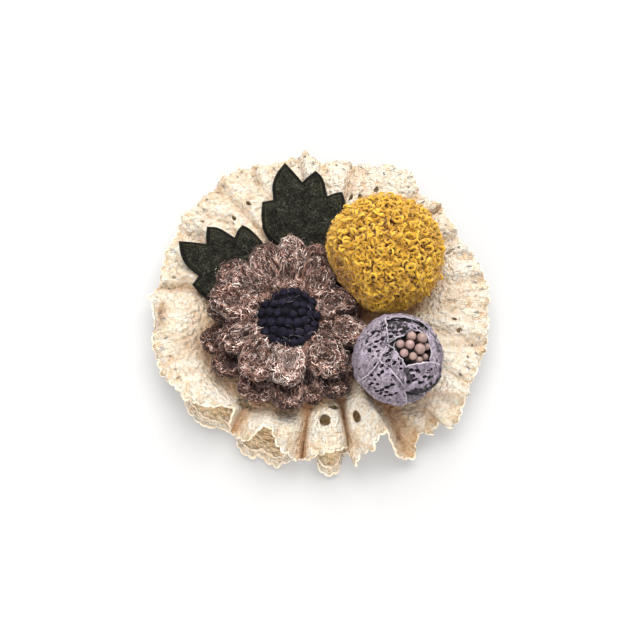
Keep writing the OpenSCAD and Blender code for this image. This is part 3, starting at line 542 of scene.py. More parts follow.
LACE = woven("lace_cotton", linear(253, 242, 227), linear(240, 209, 174), 1.0, 0.0047, 0.30, 0.50, 0.1,
             specks=0.28, through=0.22, crepe=0.42)
LACE_EDGE = fabric("lace_cord", linear(244, 234, 217), linear(226, 208, 182), (0.86, 0.8, 0.72), bump=0.0003)
LEAF = fabric("leaf_wool", linear(43, 42, 34), linear(26, 25, 19), (0.45, 0.45, 0.43), 1500, 0.0003,
              0.05, 0.1)
YARN = fabric("tweed_yarn", (1, 1, 1), (0.80, 0.75, 0.73), (0.26, 0.20, 0.18), 3000, 0.0003, 0.15, 0.15)
NAVY = fabric("navy_yarn", linear(34, 31, 45), linear(20, 19, 29), (0.5, 0.5, 0.55), 2000, 0.0003, 0.03, 0.1)
MUSTARD = fabric("mustard_yarn", linear(228, 182, 62), linear(204, 150, 34), (0.74, 0.62, 0.42), 2600, 0.0003)
WRAP = woven("bud_cotton", linear(170, 157, 172), linear(56, 50, 60), 1.6, 0.003, 0.34, 0.47, 0.03)
WRAP_EDGE = fabric("bud_cord", linear(196, 188, 198), linear(156, 148, 158), (0.7, 0.68, 0.7), bump=0.0001)
FILLING = fabric("bud_filling", linear(70, 62, 70), linear(50, 44, 50), (0.6, 0.6, 0.6), bump=0.0002)
BEAD = satin("stamen_head", linear(153, 127, 120), linear(128, 103, 98), 0.42, 900, coat=0.15)
FELT = fabric("back_felt", linear(232, 222, 204), linear(220, 206, 184), (0.86, 0.84, 0.8), 1100, 0.0002)
STEEL = satin("pin_steel", linear(206, 206, 210), linear(184, 184, 190), 0.32, 700, metallic=1.0)


# ---------------- lace tiers

# The hem curls on its own this far in from the rim, and the tiers swell from this far inside the flat middle
HEM, SWELL = 8, 8
# The folds rise from here outwards, and are at their full height this far in from the rim
FOLD_START, FOLD_END = 14, 5
# Along the rim: the edge's small waves, its cord's beads, and the pinholes with their two rows
SCALLOP, BEADING, PIN_PITCH = 2.7, 1.35, 2.9
PIN_IN, PIN_ROW, PIN_HALF = 1.7, 1.5, (0.42, 0.5)
# Directions between which the front folds have no pinholes
FRONT = (-146, -36)


def slope_run(r):
    return np.maximum(0, (r - FLAT) / (LOWER - FLAT))


def slope_z(r):
    return SEAT * (1 - slope_run(r) ** DROP)


def slope_tilt(r):
    return np.arctan(SEAT * DROP * slope_run(r) ** (DROP - 1) / (LOWER - FLAT))


def swell(r):
    return ease((r - (FLAT - SWELL)) / (LOWER - FLAT + SWELL))


def open_share(x, y):
    """From 0 below the flower, the pompom or the bud to 1 where nothing sits on the lace."""
    feet = [(*FLOWER, FLOWER_FOOT),
            (*POMPOM[:2], math.sqrt(POMPOM_RADIUS ** 2 - POMPOM_RISE ** 2)),
            (*BUD[:2], math.sqrt(BUD_RADIUS ** 2 - BUD_RISE ** 2))]
    return np.min([ease((np.hypot(x - fx, y - fy) - fr) / 6) for fx, fy, fr in feet], axis=0)


def crumpled(flat):
    """The cloth's own unevenness at a place on the plan, in millimetres."""
    return (0.8 * noise(flat, 8.0, 3) + 0.7 * noise(flat, 3.6, 5) + 0.75 * noise(flat, 2.1, 6)
            + 0.5 * noise(flat, 1.3, 7))


def creased(x, y):
    """Depth and painted shade that the creases give at a place on the upper tier."""
    depth, shade = np.zeros(np.shape(x)), np.zeros(np.shape(x))
    for line, width, deepest, dark in CREASES:
        best = np.full(np.shape(x), 1e9)
        for (x0, y0), (x1, y1) in zip(line, line[1:]):
            run = np.array([x1 - x0, y1 - y0])
            t = np.clip(((x - x0) * run[0] + (y - y0) * run[1]) / (run @ run), 0, 1)
            best = np.minimum(best, np.hypot(x - x0 - t * run[0], y - y0 - t * run[1]))
        near = np.exp(-(best / width) ** 2)
        depth, shade = np.maximum(depth, deepest * near), np.maximum(shade, dark * near)
    return depth, shade


def smooth(x, xp, fp, turn, step=0.0):
    """A curve through the points with no overshoot; it repeats after turn, each time raised by step."""
    xs = np.concatenate([xp - turn, xp, xp + turn])
    fs = np.concatenate([fp - step, fp, fp + step])
    d = np.diff(fs) / np.diff(xs)
    slope = np.zeros(len(xs))
    same = d[:-1] * d[1:] > 0
    slope[1:-1] = np.where(same, 2 * d[:-1] * d[1:] / np.where(same, d[:-1] + d[1:], 1), 0)
    i = np.clip(np.searchsorted(xs, x, "right") - 1, 0, len(xs) - 2)
    w = xs[i + 1] - xs[i]
    t = (x - xs[i]) / w
    return (fs[i] * (1 + 2 * t) * (1 - t) ** 2 + fs[i + 1] * t * t * (3 - 2 * t)
            + w * slope[i] * t * (1 - t) ** 2 - w * slope[i + 1] * t * t * (1 - t))


class Tier:
    """One gathered layer: a rim shaped by its rows, and the cloth from there in to the gathering.

    A place on it is s, millimetres along the rim, and r, millimetres from the middle.
    """

    def __init__(self, rows, upper):
        self.upper = upper
        self.rows = np.array(rows, float)
        folds = self.rows[:, 3] > 0
        self.main = self.rows[folds]
        p = self.surface(np.radians(self.rows[:, 0]), self.rows[:, 1], self.rows[:, 2])
        pace = np.maximum(np.linalg.norm(np.roll(p, -1, 0) - p, axis=1), 0.8)
        self.at = np.concatenate([[0], np.cumsum(pace)[:-1]])
        self.main_at = self.at[folds]
        self.length = pace.sum()

    def surface(self, angle, r, lift):
        tilt = slope_tilt(r)
        h = WALL / 2 + self.upper * (WALL + GAP + LOWER_FOLD * swell(r)) + lift
        return extended(toward(angle, r + h * np.sin(tilt)), slope_z(r) + h * np.cos(tilt))

    def own(self, s, column, step=0.0):
        return smooth(s, self.at, self.rows[:, column], self.length, step)

    def inner(self, s, column, step=0.0):
        return smooth(s, self.main_at, self.main[:, column], self.length, step)

    def rim(self, s):
        return self.own(s, 1)

    def hem(self, s, r):
        return ease((r - self.rim(s) + HEM) / HEM)

    def waves(self, at, pitch):
        """Humps along the rim, a whole number of them at about that pitch."""
        return np.abs(np.sin(np.pi * np.round(self.length / pitch) * at / self.length))

    def scallop(self, at):
        """The edge's small waves, some deeper than others."""
        flat = np.stack([at, 0 * at, 0 * at], -1)
        return (0.75 + 0.35 * noise(flat, 9.0, 4)) * self.waves(at, SCALLOP) - 0.4

    def body(self, s, r):
        """How far the cloth stands above the lay of the tier, before anything presses on it."""
        hem = self.hem(s, r)
        rise = ease((r - FOLD_START) / (self.rim(s) - FOLD_END - FOLD_START))
        return self.inner(s, 2) * rise * (1 - hem) + self.own(s, 2) * hem

    def point(self, s, r):
        hem = self.hem(s, r)
        angle = np.radians(self.inner(s, 0, 360) * (1 - hem) + self.own(s, 0, 360) * hem)
        flat = extended(toward(angle, r))
        x, y = flat[..., 0], flat[..., 1]
        free = open_share(x, y) if self.upper else 1.0
        crumple = crumpled(flat) * (0.45 + 0.55 * self.upper)
        if self.upper:
            crumple = crumple - creased(x, y)[0]
        apart = 31 * self.upper
        hem_curl = hem * (0.45 * noise(flat + 40 + apart, 4.2, 8) + 0.35 * noise(flat + 80 + apart, 2.4, 9))
        rough = (crumple + hem_curl) * (0.3 + 0.7 * free) * swell(r)
        return self.surface(angle, r, self.body(s, r) * free + rough)

    def pinholes(self):
        """Two rows of small holes by the rim, but in the front folds, in the eyelets' measures."""
        holes = []
        for k in range(int(self.length / PIN_PITCH)):
            at = (k + 0.5) * PIN_PITCH
            heading = (float(self.own(at, 0, 360)) + 180) % 360 - 180
            if not FRONT[0] < heading < FRONT[1]:
                holes.append((at, float(self.rim(at)) - PIN_IN - PIN_ROW * (k % 2), *PIN_HALF))
        return holes


def lace_tone(tier, p, s, r, rim, under):
    """The cloth's tone with painted shade: under where it lies deep, and darker in its crumples, its creases
    and round what sits on it.
    """
    # painted shade: the tone goes to under where the upper tier lies low between its folds, and where the
    # lower tier lies far in from its rim, beneath the upper
    if tier.upper:
        lift = np.clip((tier.body(s, r) + 0.5) / 4.0, 0, 1)[..., None]
    else:
        lift = (np.clip(1 - (rim - r) / 4.5, 0, 1) ** 1.5)[..., None]
    tone = np.array(under) * (1 - lift) + lift
    flat = p * (1, 1, 0)
    mottle = np.clip(0.35 + 0.5 * noise(flat, 5.5, 21) + 0.4 * noise(flat, 2.3, 22), 0, 1)
    shades = [(mottle, (0.03, 0.06, 0.11))]
    # painted shade on the upper tier: darker in the crumples' hollows, along the creases and round the
    # flower, the pompom and the bud
    if tier.upper:
        motif = np.clip(noise(flat + 60, 1.5, 23) - 0.05, 0, 0.5) * np.clip(1 - (rim - r) / 6.0, 0, 1)
        shades += [(np.clip(0.15 - crumpled(flat), 0, 1.2), (0.08, 0.14, 0.21)),
                   (creased(p[..., 0], p[..., 1])[1], (0.46, 0.60, 0.71)),
                   (1 - open_share(p[..., 0], p[..., 1]), (0.14, 0.32, 0.48)),
                   (motif, (0.35, 0.55, 0.85))]
    for share, dark in shades:
        tone = tone * (1 - share[..., None] * dark)
    return tone


def lace_edge(name, tier, n, loops):
    """The cord along the rim, a second one inside the lower tier's, and a ring round each eyelet."""
    edge = Piece()
    fine = np.arange(n * 2) * tier.length / (2 * n)
    line = tier.point(fine, tier.rim(fine) + tier.scallop(fine) + 0.1)
    beads = (0.22 if tier.upper else 0.34) + 0.14 * tier.waves(fine, BEADING)
    beads = beads * (1 + 0.45 * noise(line, 1.6, 31))
    edge.lay(tubes((line + 0.3 * wobble(line, 1.5, 32))[None], beads[None], 7, True), LACE_EDGE)
    if not tier.upper:
        inside = tier.rim(fine) - 1.7 + 0.5 * tier.scallop(fine + 1.3)
        inner = tier.point(fine, inside) + np.array([0, 0, 0.4])
        edge.lay(tubes(inner[None], beads[None] * 0.8, 6, True), LACE_EDGE)
    if loops:
        edge.lay(tubes(np.array(loops), 0.3, 6, True), LACE_EDGE)
    return edge.make(name + "_edge", "lace")


def lace(name, tier, spacing, rings, eyelets, thick, under):
    """A tier's cloth with its holes cut out, its edging and its length along the rim."""
    n = int(tier.length / spacing)
    columns = np.arange(n) * tier.length / n
    rim = tier.rim(columns) + tier.scallop(columns)
    s = np.broadcast_to(columns, (rings, n)).copy()
    r = GATHER + (rim - GATHER) * (np.linspace(0, 1, rings) ** 0.8)[:, None]
    cells = s[:-1] + 0.5 * tier.length / n, (r[:-1] + r[1:]) / 2
    keep = np.ones((rings - 1, n), bool)
    loops = []
    for at, at_r, half_s, half_r in eyelets + (tier.pinholes() if tier.upper else []):
        before, after = (tier.point(np.array([at + half]), np.array([at_r])) for half in (-0.5, 0.5))
        wide = half_s / np.linalg.norm(after - before)

        def from_hole(to_s, to_r):
            ds = (to_s - at + tier.length / 2) % tier.length - tier.length / 2
            return ds, to_r - at_r, np.hypot(ds / wide, (to_r - at_r) / half_r)

        keep &= from_hole(*cells)[2] > 1
        ds, dr, q = from_hole(s, r)
        pull = pulled(q, 0.22, 0.28)
        s += ds * pull
        r += dr * pull
        if half_r > max(PIN_HALF):
            turn = compass(18)
            loops.append(tier.point(at + wide * 1.12 * np.cos(turn), at_r + half_r * 1.12 * np.sin(turn)))
    p = tier.point(s, r)
    piece = Piece()
    tone = lace_tone(tier, p, s, r, rim, under)
    solid_sheet(piece, p, thick, keep, True, LACE, np.stack([s, r], -1), tone)
    return piece.make(name + "_cloth", "lace", name), lace_edge(name, tier, n, loops), tier.length


lower = Tier(LOWER_RIM, 0)
upper = Tier(UPPER_RIM, 1)
# under is painted shade: a warm tan for where the cloth lies deep, in the folds' valleys and beneath the
# upper tier
lower_lace, lower_edge, lower_length = lace("lace_lower", lower, 0.55, 44, [], 0.7, (1.10, 0.90, 0.68))
upper_lace, upper_edge, upper_length = lace("lace_upper", upper, 0.51, 55, EYELETS, 0.75, (1.0, 0.79, 0.59))


# ---------------- back

def back_felt():
    turn = compass(120)
    radii = np.array([0.3, 4, 8, 12, 16, 19, 21, 22.2, 22.8, 23.0])
    r = np.broadcast_to(radii[:, None], (len(radii), len(turn)))
    p = extended(toward(turn, r), 5.05)
    p[..., 2] += 0.08 * noise(p, 5.0, 8)
    thick = np.interp(r, [0, 21.5, 22.6, 23], [1.4, 1.35, 1.1, 0.6])
    keep = np.ones((len(radii) - 1, len(turn)), bool)
    piece = Piece()
    solid_sheet(piece, p, thick, keep, True, FELT, p[..., :2], np.ones(p.shape))
    stitches = np.radians(np.arange(0, 360, 6.0))
    path = np.stack([extended(toward(stitches, q), z) for q, z in
                     ((19.6, 4.6), (19.8, 4.28), (21.4, 4.24), (22.9, 4.4), (23.2, 5.05))], 1)
    sewn = Piece()
    sewn.lay(tubes(path, 0.22, 5), LACE_EDGE)
    return piece.make("back_felt", "backing_felt", "backing_felt"), sewn.make("back_stitches", "lace")


felt, sewn = back_felt()
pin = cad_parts["brooch_pin"]
pin.data.materials.clear()
pin.data.materials.append(STEEL)
soften = pin.modifiers.new("soften", "BEVEL")
soften.width = 0.00015
soften.segments = 2
soften.limit_method = "ANGLE"


# ---------------- leaves

# The seam's way in from the edge, half the felt's thickness and the leaf's middle height, in millimetres
SEAM, FELT_HALF, FELT_MIDDLE = 1.25, 0.72, 0.8


def leaf_line():
    """The outline in millimetres, rounded between its corners, with a point in every half millimetre."""
    pts = np.array(LEAF_OUTLINE, float)
    out = []
    for i in range(len(pts)):
        p1, p2 = pts[i, :2], pts[(i + 1) % len(pts), :2]
        p0 = pts[i - 1, :2] if not pts[i, 2] else 2 * p1 - p2
        p3 = pts[(i + 2) % len(pts), :2] if not pts[(i + 1) % len(pts), 2] else 2 * p2 - p1
        steps = max(2, int(np.linalg.norm((p2 - p1) * LEAF_SIZE) / 0.45))
        for t in np.arange(steps) / steps:
            out.append(0.5 * (2 * p1 + (p2 - p0) * t + (2 * p0 - 5 * p1 + 4 * p2 - p3) * t * t
                              + (3 * p1 - p0 - 3 * p2 + p3) * t ** 3))
    return np.array(out) * LEAF_SIZE


def line_distance(p, line):
    """How far each of the points is from the closed line."""
    ab = np.roll(line, -1, 0) - line
    best = np.full(len(p), 1e9)
    for a, along in zip(line, ab):
        t = np.clip(((p - a) @ along) / max(along @ along, 1e-9), 0, 1)
        best = np.minimum(best, np.linalg.norm(p - a - t[:, None] * along, axis=1))
    return best


def leaf_place(name, flat, h):
    """Where a place on the leaf's outline plan, at height h over its underside, is on the brooch."""
    x0, y0, heading, slope = LEAVES[name]
    a, tilt = math.radians(heading), math.atan(slope)
    x, along = flat[..., 0], flat[..., 1]
    y = along * math.cos(tilt) - h * math.sin(tilt)
    z = along * math.sin(tilt) + h * math.cos(tilt)
    return np.stack([x0 + x * math.cos(a) - y * math.sin(a), y0 + x * math.sin(a) + y * math.cos(a),
                     LEAF_SEAT + z], -1)


def leaf_felt(name, seed, line):
    """The leaf's two sides and rim, and the plan's points, triangles and distances from the edge."""
    xs, ys = np.meshgrid(np.arange(-14, 13, 0.6), np.arange(2.5, 31.5, 0.52))
    xs = xs + 0.3 * (np.arange(len(xs)) % 2)[:, None]
    inner = np.stack([xs.ravel(), ys.ravel()], -1)
    inner = inner[line_distance(inner, line) > 0.35]
    count = len(line)
    verts = [Vector(v) for v in np.concatenate([line, inner])]
    found, _, faces, *_ = delaunay_2d_cdt(verts, [], [list(range(count))], 1, 1e-5)
    flat = np.array([tuple(v) for v in found])
    tris = np.array([f for f in faces if len(f) == 3])
    e1, e2 = flat[tris[:, 1]] - flat[tris[:, 0]], flat[tris[:, 2]] - flat[tris[:, 0]]
    back = e1[:, 0] * e2[:, 1] - e1[:, 1] * e2[:, 0] < 0
    tris[back] = tris[back][:, ::-1]
    d = line_distance(flat, line)
    three = extended(flat, seed * 9.0)
    round_off = np.sqrt(np.clip(1 - (1 - np.clip(d / 0.7, 0, 1)) ** 2, 0, 1))
    puff = 0.25 * (1 - np.exp(-np.maximum(d - 1.2, 0) / 2.5)) * (np.abs(flat[:, 0] + 1.0) < 12)
    groove = 0.22 * np.exp(-((d - SEAM) / 0.28) ** 2)
    grain = 0.10 * noise(three, 1.1, seed) + 0.12 * noise(three, 3.5, seed + 1)
    top = FELT_MIDDLE + FELT_HALF * round_off + puff - groove + grain * np.clip(d, 0, 1)
    low = FELT_MIDDLE - FELT_HALF * round_off
    tone = np.ones(len(flat))
    tone *= 1 - 0.62 * np.exp(-(np.maximum(d - 0.9, 0) / 0.3) ** 2)
    tone *= 1 + 0.65 * noise(three, 2.3, seed + 2) + 0.35 * noise(three, 0.8, seed + 3)
    n = len(flat)
    points = np.concatenate([leaf_place(name, flat, top), leaf_place(name, flat, low)])
    rim = np.arange(count)
    after = np.roll(rim, -1)
    ahead = np.roll(line, -1, 0)
    if (ahead[:, 0] * line[:, 1] - line[:, 0] * ahead[:, 1]).sum() > 0:
        rim, after = after, rim
    piece = Piece()
    piece.add(points, np.concatenate([tris, tris[:, ::-1] + n]), LEAF,
              np.repeat(np.concatenate([tone, tone])[:, None], 3, 1))
    piece.join(np.stack([rim, rim + n, after + n, after], -1), LEAF)
    return piece, flat, tris, d


def leaf_fuzz(name, line, flat, tris, d):
    """Lint on the leaf and the paler threads of its seam."""
    hairs = 2600
    used = np.unique(tris)
    used = used[d[used] > 1.9]
    at = flat[used][rng.integers(0, len(used), hairs)]
    at_d = line_distance(at, line)
    ahead = rng.uniform(0, 2 * np.pi, hairs)
    long = np.minimum(rng.uniform(0.5, 1.8, hairs), at_d - 0.9)
    t = np.linspace(0, 1, 4)
    curl = rng.normal(0, 1.3, hairs)
    angle = ahead[:, None] + curl[:, None] * t
    step = toward(angle) * (long / 3)[:, None, None]
    run = at[:, None] + np.cumsum(step, 1) - step
    bow = rng.uniform(0.02, 0.3, hairs)[:, None] * np.sin(np.pi * t)
    up = 1.5 + 0.18 * np.clip(at_d, 0, 1)[:, None] + bow
    palette = np.array([linear(120, 122, 108), linear(82, 84, 70), linear(48, 50, 39), linear(20, 20, 15)])
    colours = palette[rng.choice(4, hairs, p=[0.16, 0.34, 0.3, 0.2])] / linear(50, 49, 40)
    upward = leaf_place(name, np.zeros(2), 1.0) - leaf_place(name, np.zeros(2), 0.0)
    tangent = unit(np.roll(line, -1, 0) - np.roll(line, 1, 0))
    inward = np.stack([-tangent[:, 1], tangent[:, 0]], -1)
    inward *= np.sign((-inward * (line - line.mean(0))).sum())
    seam = np.repeat(line + (SEAM + 0.1) * inward, 4, 0)
    clear = line_distance(seam, line) > SEAM
    seam, course = seam[clear], np.repeat(tangent, 4, 0)[clear]
    seam = seam + rng.normal(0, 0.09, seam.shape)
    run_seam = seam[:, None] + course[:, None] * np.linspace(-0.7, 0.7, 4)[:, None]
    glow = rng.uniform(1.2, 3.4, (len(seam), 1)) * np.array([1.0, 1.02, 0.9])
    fuzz = Piece()
    fuzz.lay(fibres(leaf_place(name, run_seam, 1.55), 0.12, glow, upward), LEAF)
    fuzz.lay(fibres(leaf_place(name, run, up), 0.11, colours, upward), LEAF)
    return fuzz


def leaf(name, seed):
    line = leaf_line()
    piece, *shape = leaf_felt(name, seed, line)
    fuzz = leaf_fuzz(name, line, *shape)
    made = piece.make(name + "_felt", "leaf_felt", name)
    fuzz.make(name + "_fuzz", "leaf_felt")


leaf("leaf_top", 1)
leaf("leaf_left", 2)


# ---------------- yarn flower

TWEED = np.array([linear(54, 36, 30), linear(132, 100, 90), linear(184, 150, 138), linear(232, 206, 196),
                  linear(255, 248, 242), linear(160, 118, 96)])
# Millimetres along a petal's section at which bed, strands and fibres have their painted light and shade
SHADED_AT = [0, 2, 4.5, 6.5, 8.5, 11]


def sections(name, angle):
    """What the CAD petal spans at its six places: distance out, right and left reach, low and high."""
    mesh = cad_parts[name].data
    co = np.empty(len(mesh.vertices) * 3)
    mesh.vertices.foreach_get("co", co)
    p = co.reshape(-1, 3) / MM + CENTRE
    a = math.radians(angle)
    d, side = np.array([math.cos(a), math.sin(a)]), np.array([-math.sin(a), math.cos(a)])
    q = p[:, :2] - FLOWER
    out, across = q @ d, q @ side
    places = []
    for value in np.sort(out):
        if not places or value - places[-1] > 0.05:
            places.append(value)
    rows = []
    for value in places:
        mine = np.abs(out - value) < 0.06
        rows.append((value, across[mine].min(), across[mine].max(), p[mine, 2].min(), p[mine, 2].max()))
    return np.array(rows), d, side


def petal(name, angle, seed, mix, hairs, ropes, cup=1.0, core=0.8, broad=1.08):
    """A petal between what the CAD petal spans: a cupped bed, thicker strands and loose fibres.

    The colours come in shares of mix, core darkens the bed as painted shade under its strands and fibres, and
    cup and broad are its depth and breadth.
    """
    rows, d, side = sections(name, angle)
    local = np.random.default_rng(seed)
    middle = rows[-1, 0] - TIP + 0.5
    width = (rows[:, 2] - rows[:, 1]).max() / 2 * broad
    steps = np.hypot(np.diff(SECTION[:, 0]) * HALF, np.diff(SECTION[:, 1]) * THICK)
    run = np.concatenate([[0], np.cumsum(steps)])
    lump = seed * 7.7
    roll, rise = local.normal(0, 0.18), local.uniform(-0.7, 1.1)

    def place(q, th):
        """Point at q millimetres from the middle along the section, in direction th round the oval."""
        rho, up = np.interp(q, run, SECTION[:, 0]), np.interp(q, run, SECTION[:, 1])
        up = np.where(q < run[4], 1 - (1 - up) * cup, up)
        c, s = np.cos(th), np.sin(th)
        grow = (np.abs(c) ** 2.5 + np.abs(s) ** 2.5) ** (-1 / 2.5)
        ring = np.stack([c * 3, s * 3, 0 * th + lump], -1)
        grow = grow * (1 + 0.06 * noise(ring, 1.7, 2) + 0.03 * noise(ring, 0.8, 3))
        out = middle + TIP * rho * grow * c
        shift = np.interp(out, rows[:, 0], (rows[:, 1] + rows[:, 2]) / 2)
        low, high = np.interp(out, rows[:, 0], rows[:, 3]), np.interp(out, rows[:, 0], rows[:, 4])
        high = np.maximum(high, np.interp(middle, rows[:, 0], rows[:, 4]) - 0.9)
        across = width * rho * grow * s
        p = extended(FLOWER + out[..., None] * d + (shift + across)[..., None] * side)
        p[..., 2] = low + (high - low + rise) * up + roll * width * rho * grow * s * up
        lumps = 0.34 * noise(p + lump, 1.7, seed) + 0.22 * noise(p + lump, 0.8, seed + 1)
        p[..., 2] += lumps * np.clip(up * 1.5, 0, 1)
        return p

    def square(q, th):
        a = place(q + 0.15, th) - place(q - 0.15, th)
        b = place(q, th + 0.04) - place(q, th - 0.04)
        return unit(np.cross(a, b))

    def along(q0, th0, heading, curl, long, steps):
        """Lines laid on the petal, each from a place and a heading (0 goes round the oval)."""
        t = np.linspace(-0.5, 0.5, steps)
        heading = heading[:, None] + curl[:, None] * t
        ds = (long / (steps - 1))[:, None]
        rho = np.interp(q0, run, SECTION[:, 0])
        th = th0[:, None] + np.cumsum(np.cos(heading) * ds, 1) / np.maximum(rho, 0.25)[:, None] / HALF
        q = np.clip(np.abs(q0[:, None] + np.cumsum(np.sin(heading) * ds, 1)), 0.05, run[-3])
        return q, th

    piece = Piece()
    rings, around = 26, 44
    q = np.broadcast_to(np.linspace(0, run[-1], rings)[:, None], (rings, around))
    th = np.broadcast_to(2 * np.pi * np.arange(around) / around, (rings, around))
    body = place(q, th)
    mixture = np.array(mix) / sum(mix)
    speck = np.clip(0.5 + 0.5 * noise(body + lump, 0.7, 5) + 0.4 * noise(body, 0.45, 6), 0, 1)[..., None]
    # painted light and shade: lighter on the rolled rim, darker in the middle and underneath
    painted_light = np.interp(q, SHADED_AT, [0.72, 0.8, 1.0, 0.85, 0.4, 0.25])[..., None]
    bed = (TWEED[0] * 0.7 * (1 - speck) + TWEED[2] * speck ** 2) * core * painted_light
    piece.add(body, skin(rings, around), YARN, bed.reshape(-1, 3))
    # the yarn's thicker strands, wound round and round with slubs
    q0 = local.uniform(0.5, 8.6, ropes)
    q, th = along(q0, local.uniform(0, 2 * np.pi, ropes), local.normal(0, 0.35, ropes),
                  local.normal(0, 0.7, ropes), local.uniform(4, 9, ropes), 13)
    path = place(q, th) + square(q, th) * 0.18
    path += 0.16 * wobble(path + lump, 1.1)
    thick = local.uniform(0.26, 0.44, (ropes, 1)) * (1 + 0.45 * noise(path + lump, 0.8, 4))
    thick[:, [0, -1]] = 0.06
    pick = np.repeat(local.choice(6, (ropes, 5), p=mixture), 3, 1)[:, :13]
    # the strands' painted light and shade along the section
    painted_light = np.interp(q, SHADED_AT, [0.6, 0.8, 1.25, 1.0, 0.35, 0.18])[..., None]
    piece.lay(tubes(path, thick, 5, False, (0.6 * TWEED[pick] + 0.4 * TWEED[1]) * painted_light), YARN)
    # its loose curly fibres
    q0 = 9.4 * local.uniform(0.002, 1, hairs) ** 0.75
    q, th = along(q0, local.uniform(0, 2 * np.pi, hairs), local.normal(0, 0.75, hairs),
                  local.normal(0, 2.4, hairs), local.uniform(1.0, 3.4, hairs), 5)
    high = np.where(local.uniform(size=hairs) < 0.14, local.uniform(0.5, 1.4, hairs),
                    local.uniform(0.02, 0.4, hairs))
    face = square(q, th)
    path = place(q, th) + face * (0.22 + high[:, None] * np.sin(np.linspace(0, np.pi, 5)))[..., None]
    wide = np.where(high > 0.5, 0.10, local.uniform(0.15, 0.30, hairs))
    pick = local.choice(6, hairs, p=mixture)
    # the fibres' painted light and shade along the section; they are also painted lighter the higher they
    # stand
    painted_light = np.interp(q[:, 2], SHADED_AT, [0.6, 0.8, 1.35, 1.15, 0.4, 0.2])
    patch = 1 + 0.45 * noise(path[:, 2] + lump, 2.4, 8) + 0.35 * noise(path[:, 2] + lump, 1.1, 9)
    light = patch * local.uniform(0.6, 1.5, hairs) * np.interp(high, [0, 0.5], [0.85, 1.15]) * painted_light
    piece.lay(fibres(path, wide, TWEED[pick] * light[:, None], face), YARN)
    neck = np.stack([np.append(FLOWER + d * r, np.interp(r, rows[:, 0], 0.7 * rows[:, 3] + 0.3 * rows[:, 4]))
                     for r in np.linspace(rows[0, 0], middle, 6)])
    piece.lay(tubes(neck[None], np.linspace(0.9, 1.3, 6), 10, False, TWEED[0]), YARN)
    piece.make("yarn_" + name, "flower_yarn", name)


# Shares of the six tweed colours: most petals, the lower ones, the pale lower one at the back and the golden
# upper one at the front. The second lower petal is an open loop, with a deep cup.
PLAIN, DEEP = (32, 20, 18, 18, 9, 4), (40, 24, 18, 12, 4, 4)
PALE, GOLD = (10, 14, 20, 24, 28, 4), (6, 8, 12, 26, 38, 12)
for k, angle in enumerate(LOWER_PETALS):
    # core is painted shade on the bed, deepest in the open loop's cup
    cup, core = (2.2, 0.45) if k == 1 else (1.0, 0.7)
    petal(f"petal_lower_{k + 1}", angle, 20 + k, PALE if k == 10 else DEEP, 720, 11, cup, core, 1.2)
for k, angle in enumerate(UPPER_PETALS):
    petal(f"petal_upper_{k + 1}", angle, 60 + k, GOLD if k == 2 else PLAIN, 1080, 13)


# ---------------- knotted pad

def pad():
    """The flower's middle: a dark core, its knots and a few loose hairs."""
    piece = Piece()
    dome, faces = ball(24, 40)
    core = dome * np.array([PAD_RADIUS * 0.93, PAD_RADIUS * 0.93, PAD_HEIGHT * 0.85])
    core[:, 2] = np.where(dome[:, 2] < 0, dome[:, 2] * 5.0, core[:, 2])
    # the core's tone is painted shade, dark in the gaps between the knots
    piece.add(core + np.array([*FLOWER, PAD_Z - 0.4]), faces, NAVY, (0.35, 0.35, 0.4))
    knot, knot_faces = ball(12, 16)
    reach = PAD_RADIUS - 0.75
    for i, (x, y) in enumerate(KNOTS):
        heading = math.degrees(math.atan2(y, x)) + 90 if math.hypot(x, y) > 6.5 else 4.0 * x + 60 * (i % 2)
        q = min(math.hypot(x, y) / reach, 1)
        z = PAD_Z + (PAD_HEIGHT - 1.05) * math.sqrt(max(0.0, 1 - q * q * 0.85)) + rng.normal(0, 0.18)
        shape = knot * np.array([1.38, 1.2, 1.25]) * rng.uniform(0.86, 1.08, 3)
        twist = np.arctan2(shape[:, 2], shape[:, 1]) * 3 + shape[:, 0] * 2.6
        shape = shape * (1 + 0.07 * np.sin(twist))[:, None]
        shape = turned(shape, heading + rng.normal(0, 24))
        shape[:, 2] -= (shape[:, :2] @ np.array([x, y])) / reach * 0.45
        shape += 0.14 * noise(shape + i * 5, 0.8, 9)[:, None] * unit(shape)
        tone = 1 + 0.35 * noise(shape + i * 3.3, 0.6, 6)[:, None] * np.ones(3)
        # painted light and shade: each knot lighter on top and darker underneath
        tone = tone * np.interp(shape[:, 2], [-0.2, 0.5, 1.1], [0.15, 0.75, 1.5])[:, None]
        piece.add(shape + np.array([FLOWER[0] + x, FLOWER[1] + y, z]), knot_faces, NAVY, tone)
    hairs = 260
    a = rng.uniform(0, 2 * np.pi, hairs)
    r = PAD_RADIUS * np.sqrt(rng.uniform(0, 1, hairs))
    q = np.clip(r / PAD_RADIUS, 0, 1)
    start = extended(FLOWER + toward(a, r), PAD_Z + 0.5 + (PAD_HEIGHT - 0.3) * np.sqrt(1 - q * q * 0.85))
    s = np.linspace(-0.5, 0.5, 5)
    way = unit(rng.normal(size=(hairs, 3)) * (1, 1, 0.35))
    path = start[:, None] + way[:, None] * (s[:, None] * rng.uniform(1.0, 3.2, (hairs, 1, 1)))
    path += unit(rng.normal(size=(hairs, 3)))[:, None] * (0.5 * np.cos(s * np.pi))[:, None]
    colours = np.where(rng.uniform(size=(hairs, 1)) < 0.12, linear(200, 190, 186) / linear(50, 48, 64), 1.3)
    piece.lay(fibres(path, 0.1, colours * np.ones(3)), NAVY)
    piece.make("knotted_pad", "pad_yarn", "flower_centre")


pad()


# ---------------- pompom

# Radii of the pompom's core, of the feet of its curls and of its loose hairs, and the golden angle
CORE, CURLS, LOOSE = 15.0, 15.45, 16.6
GOLDEN = math.radians(137.508)


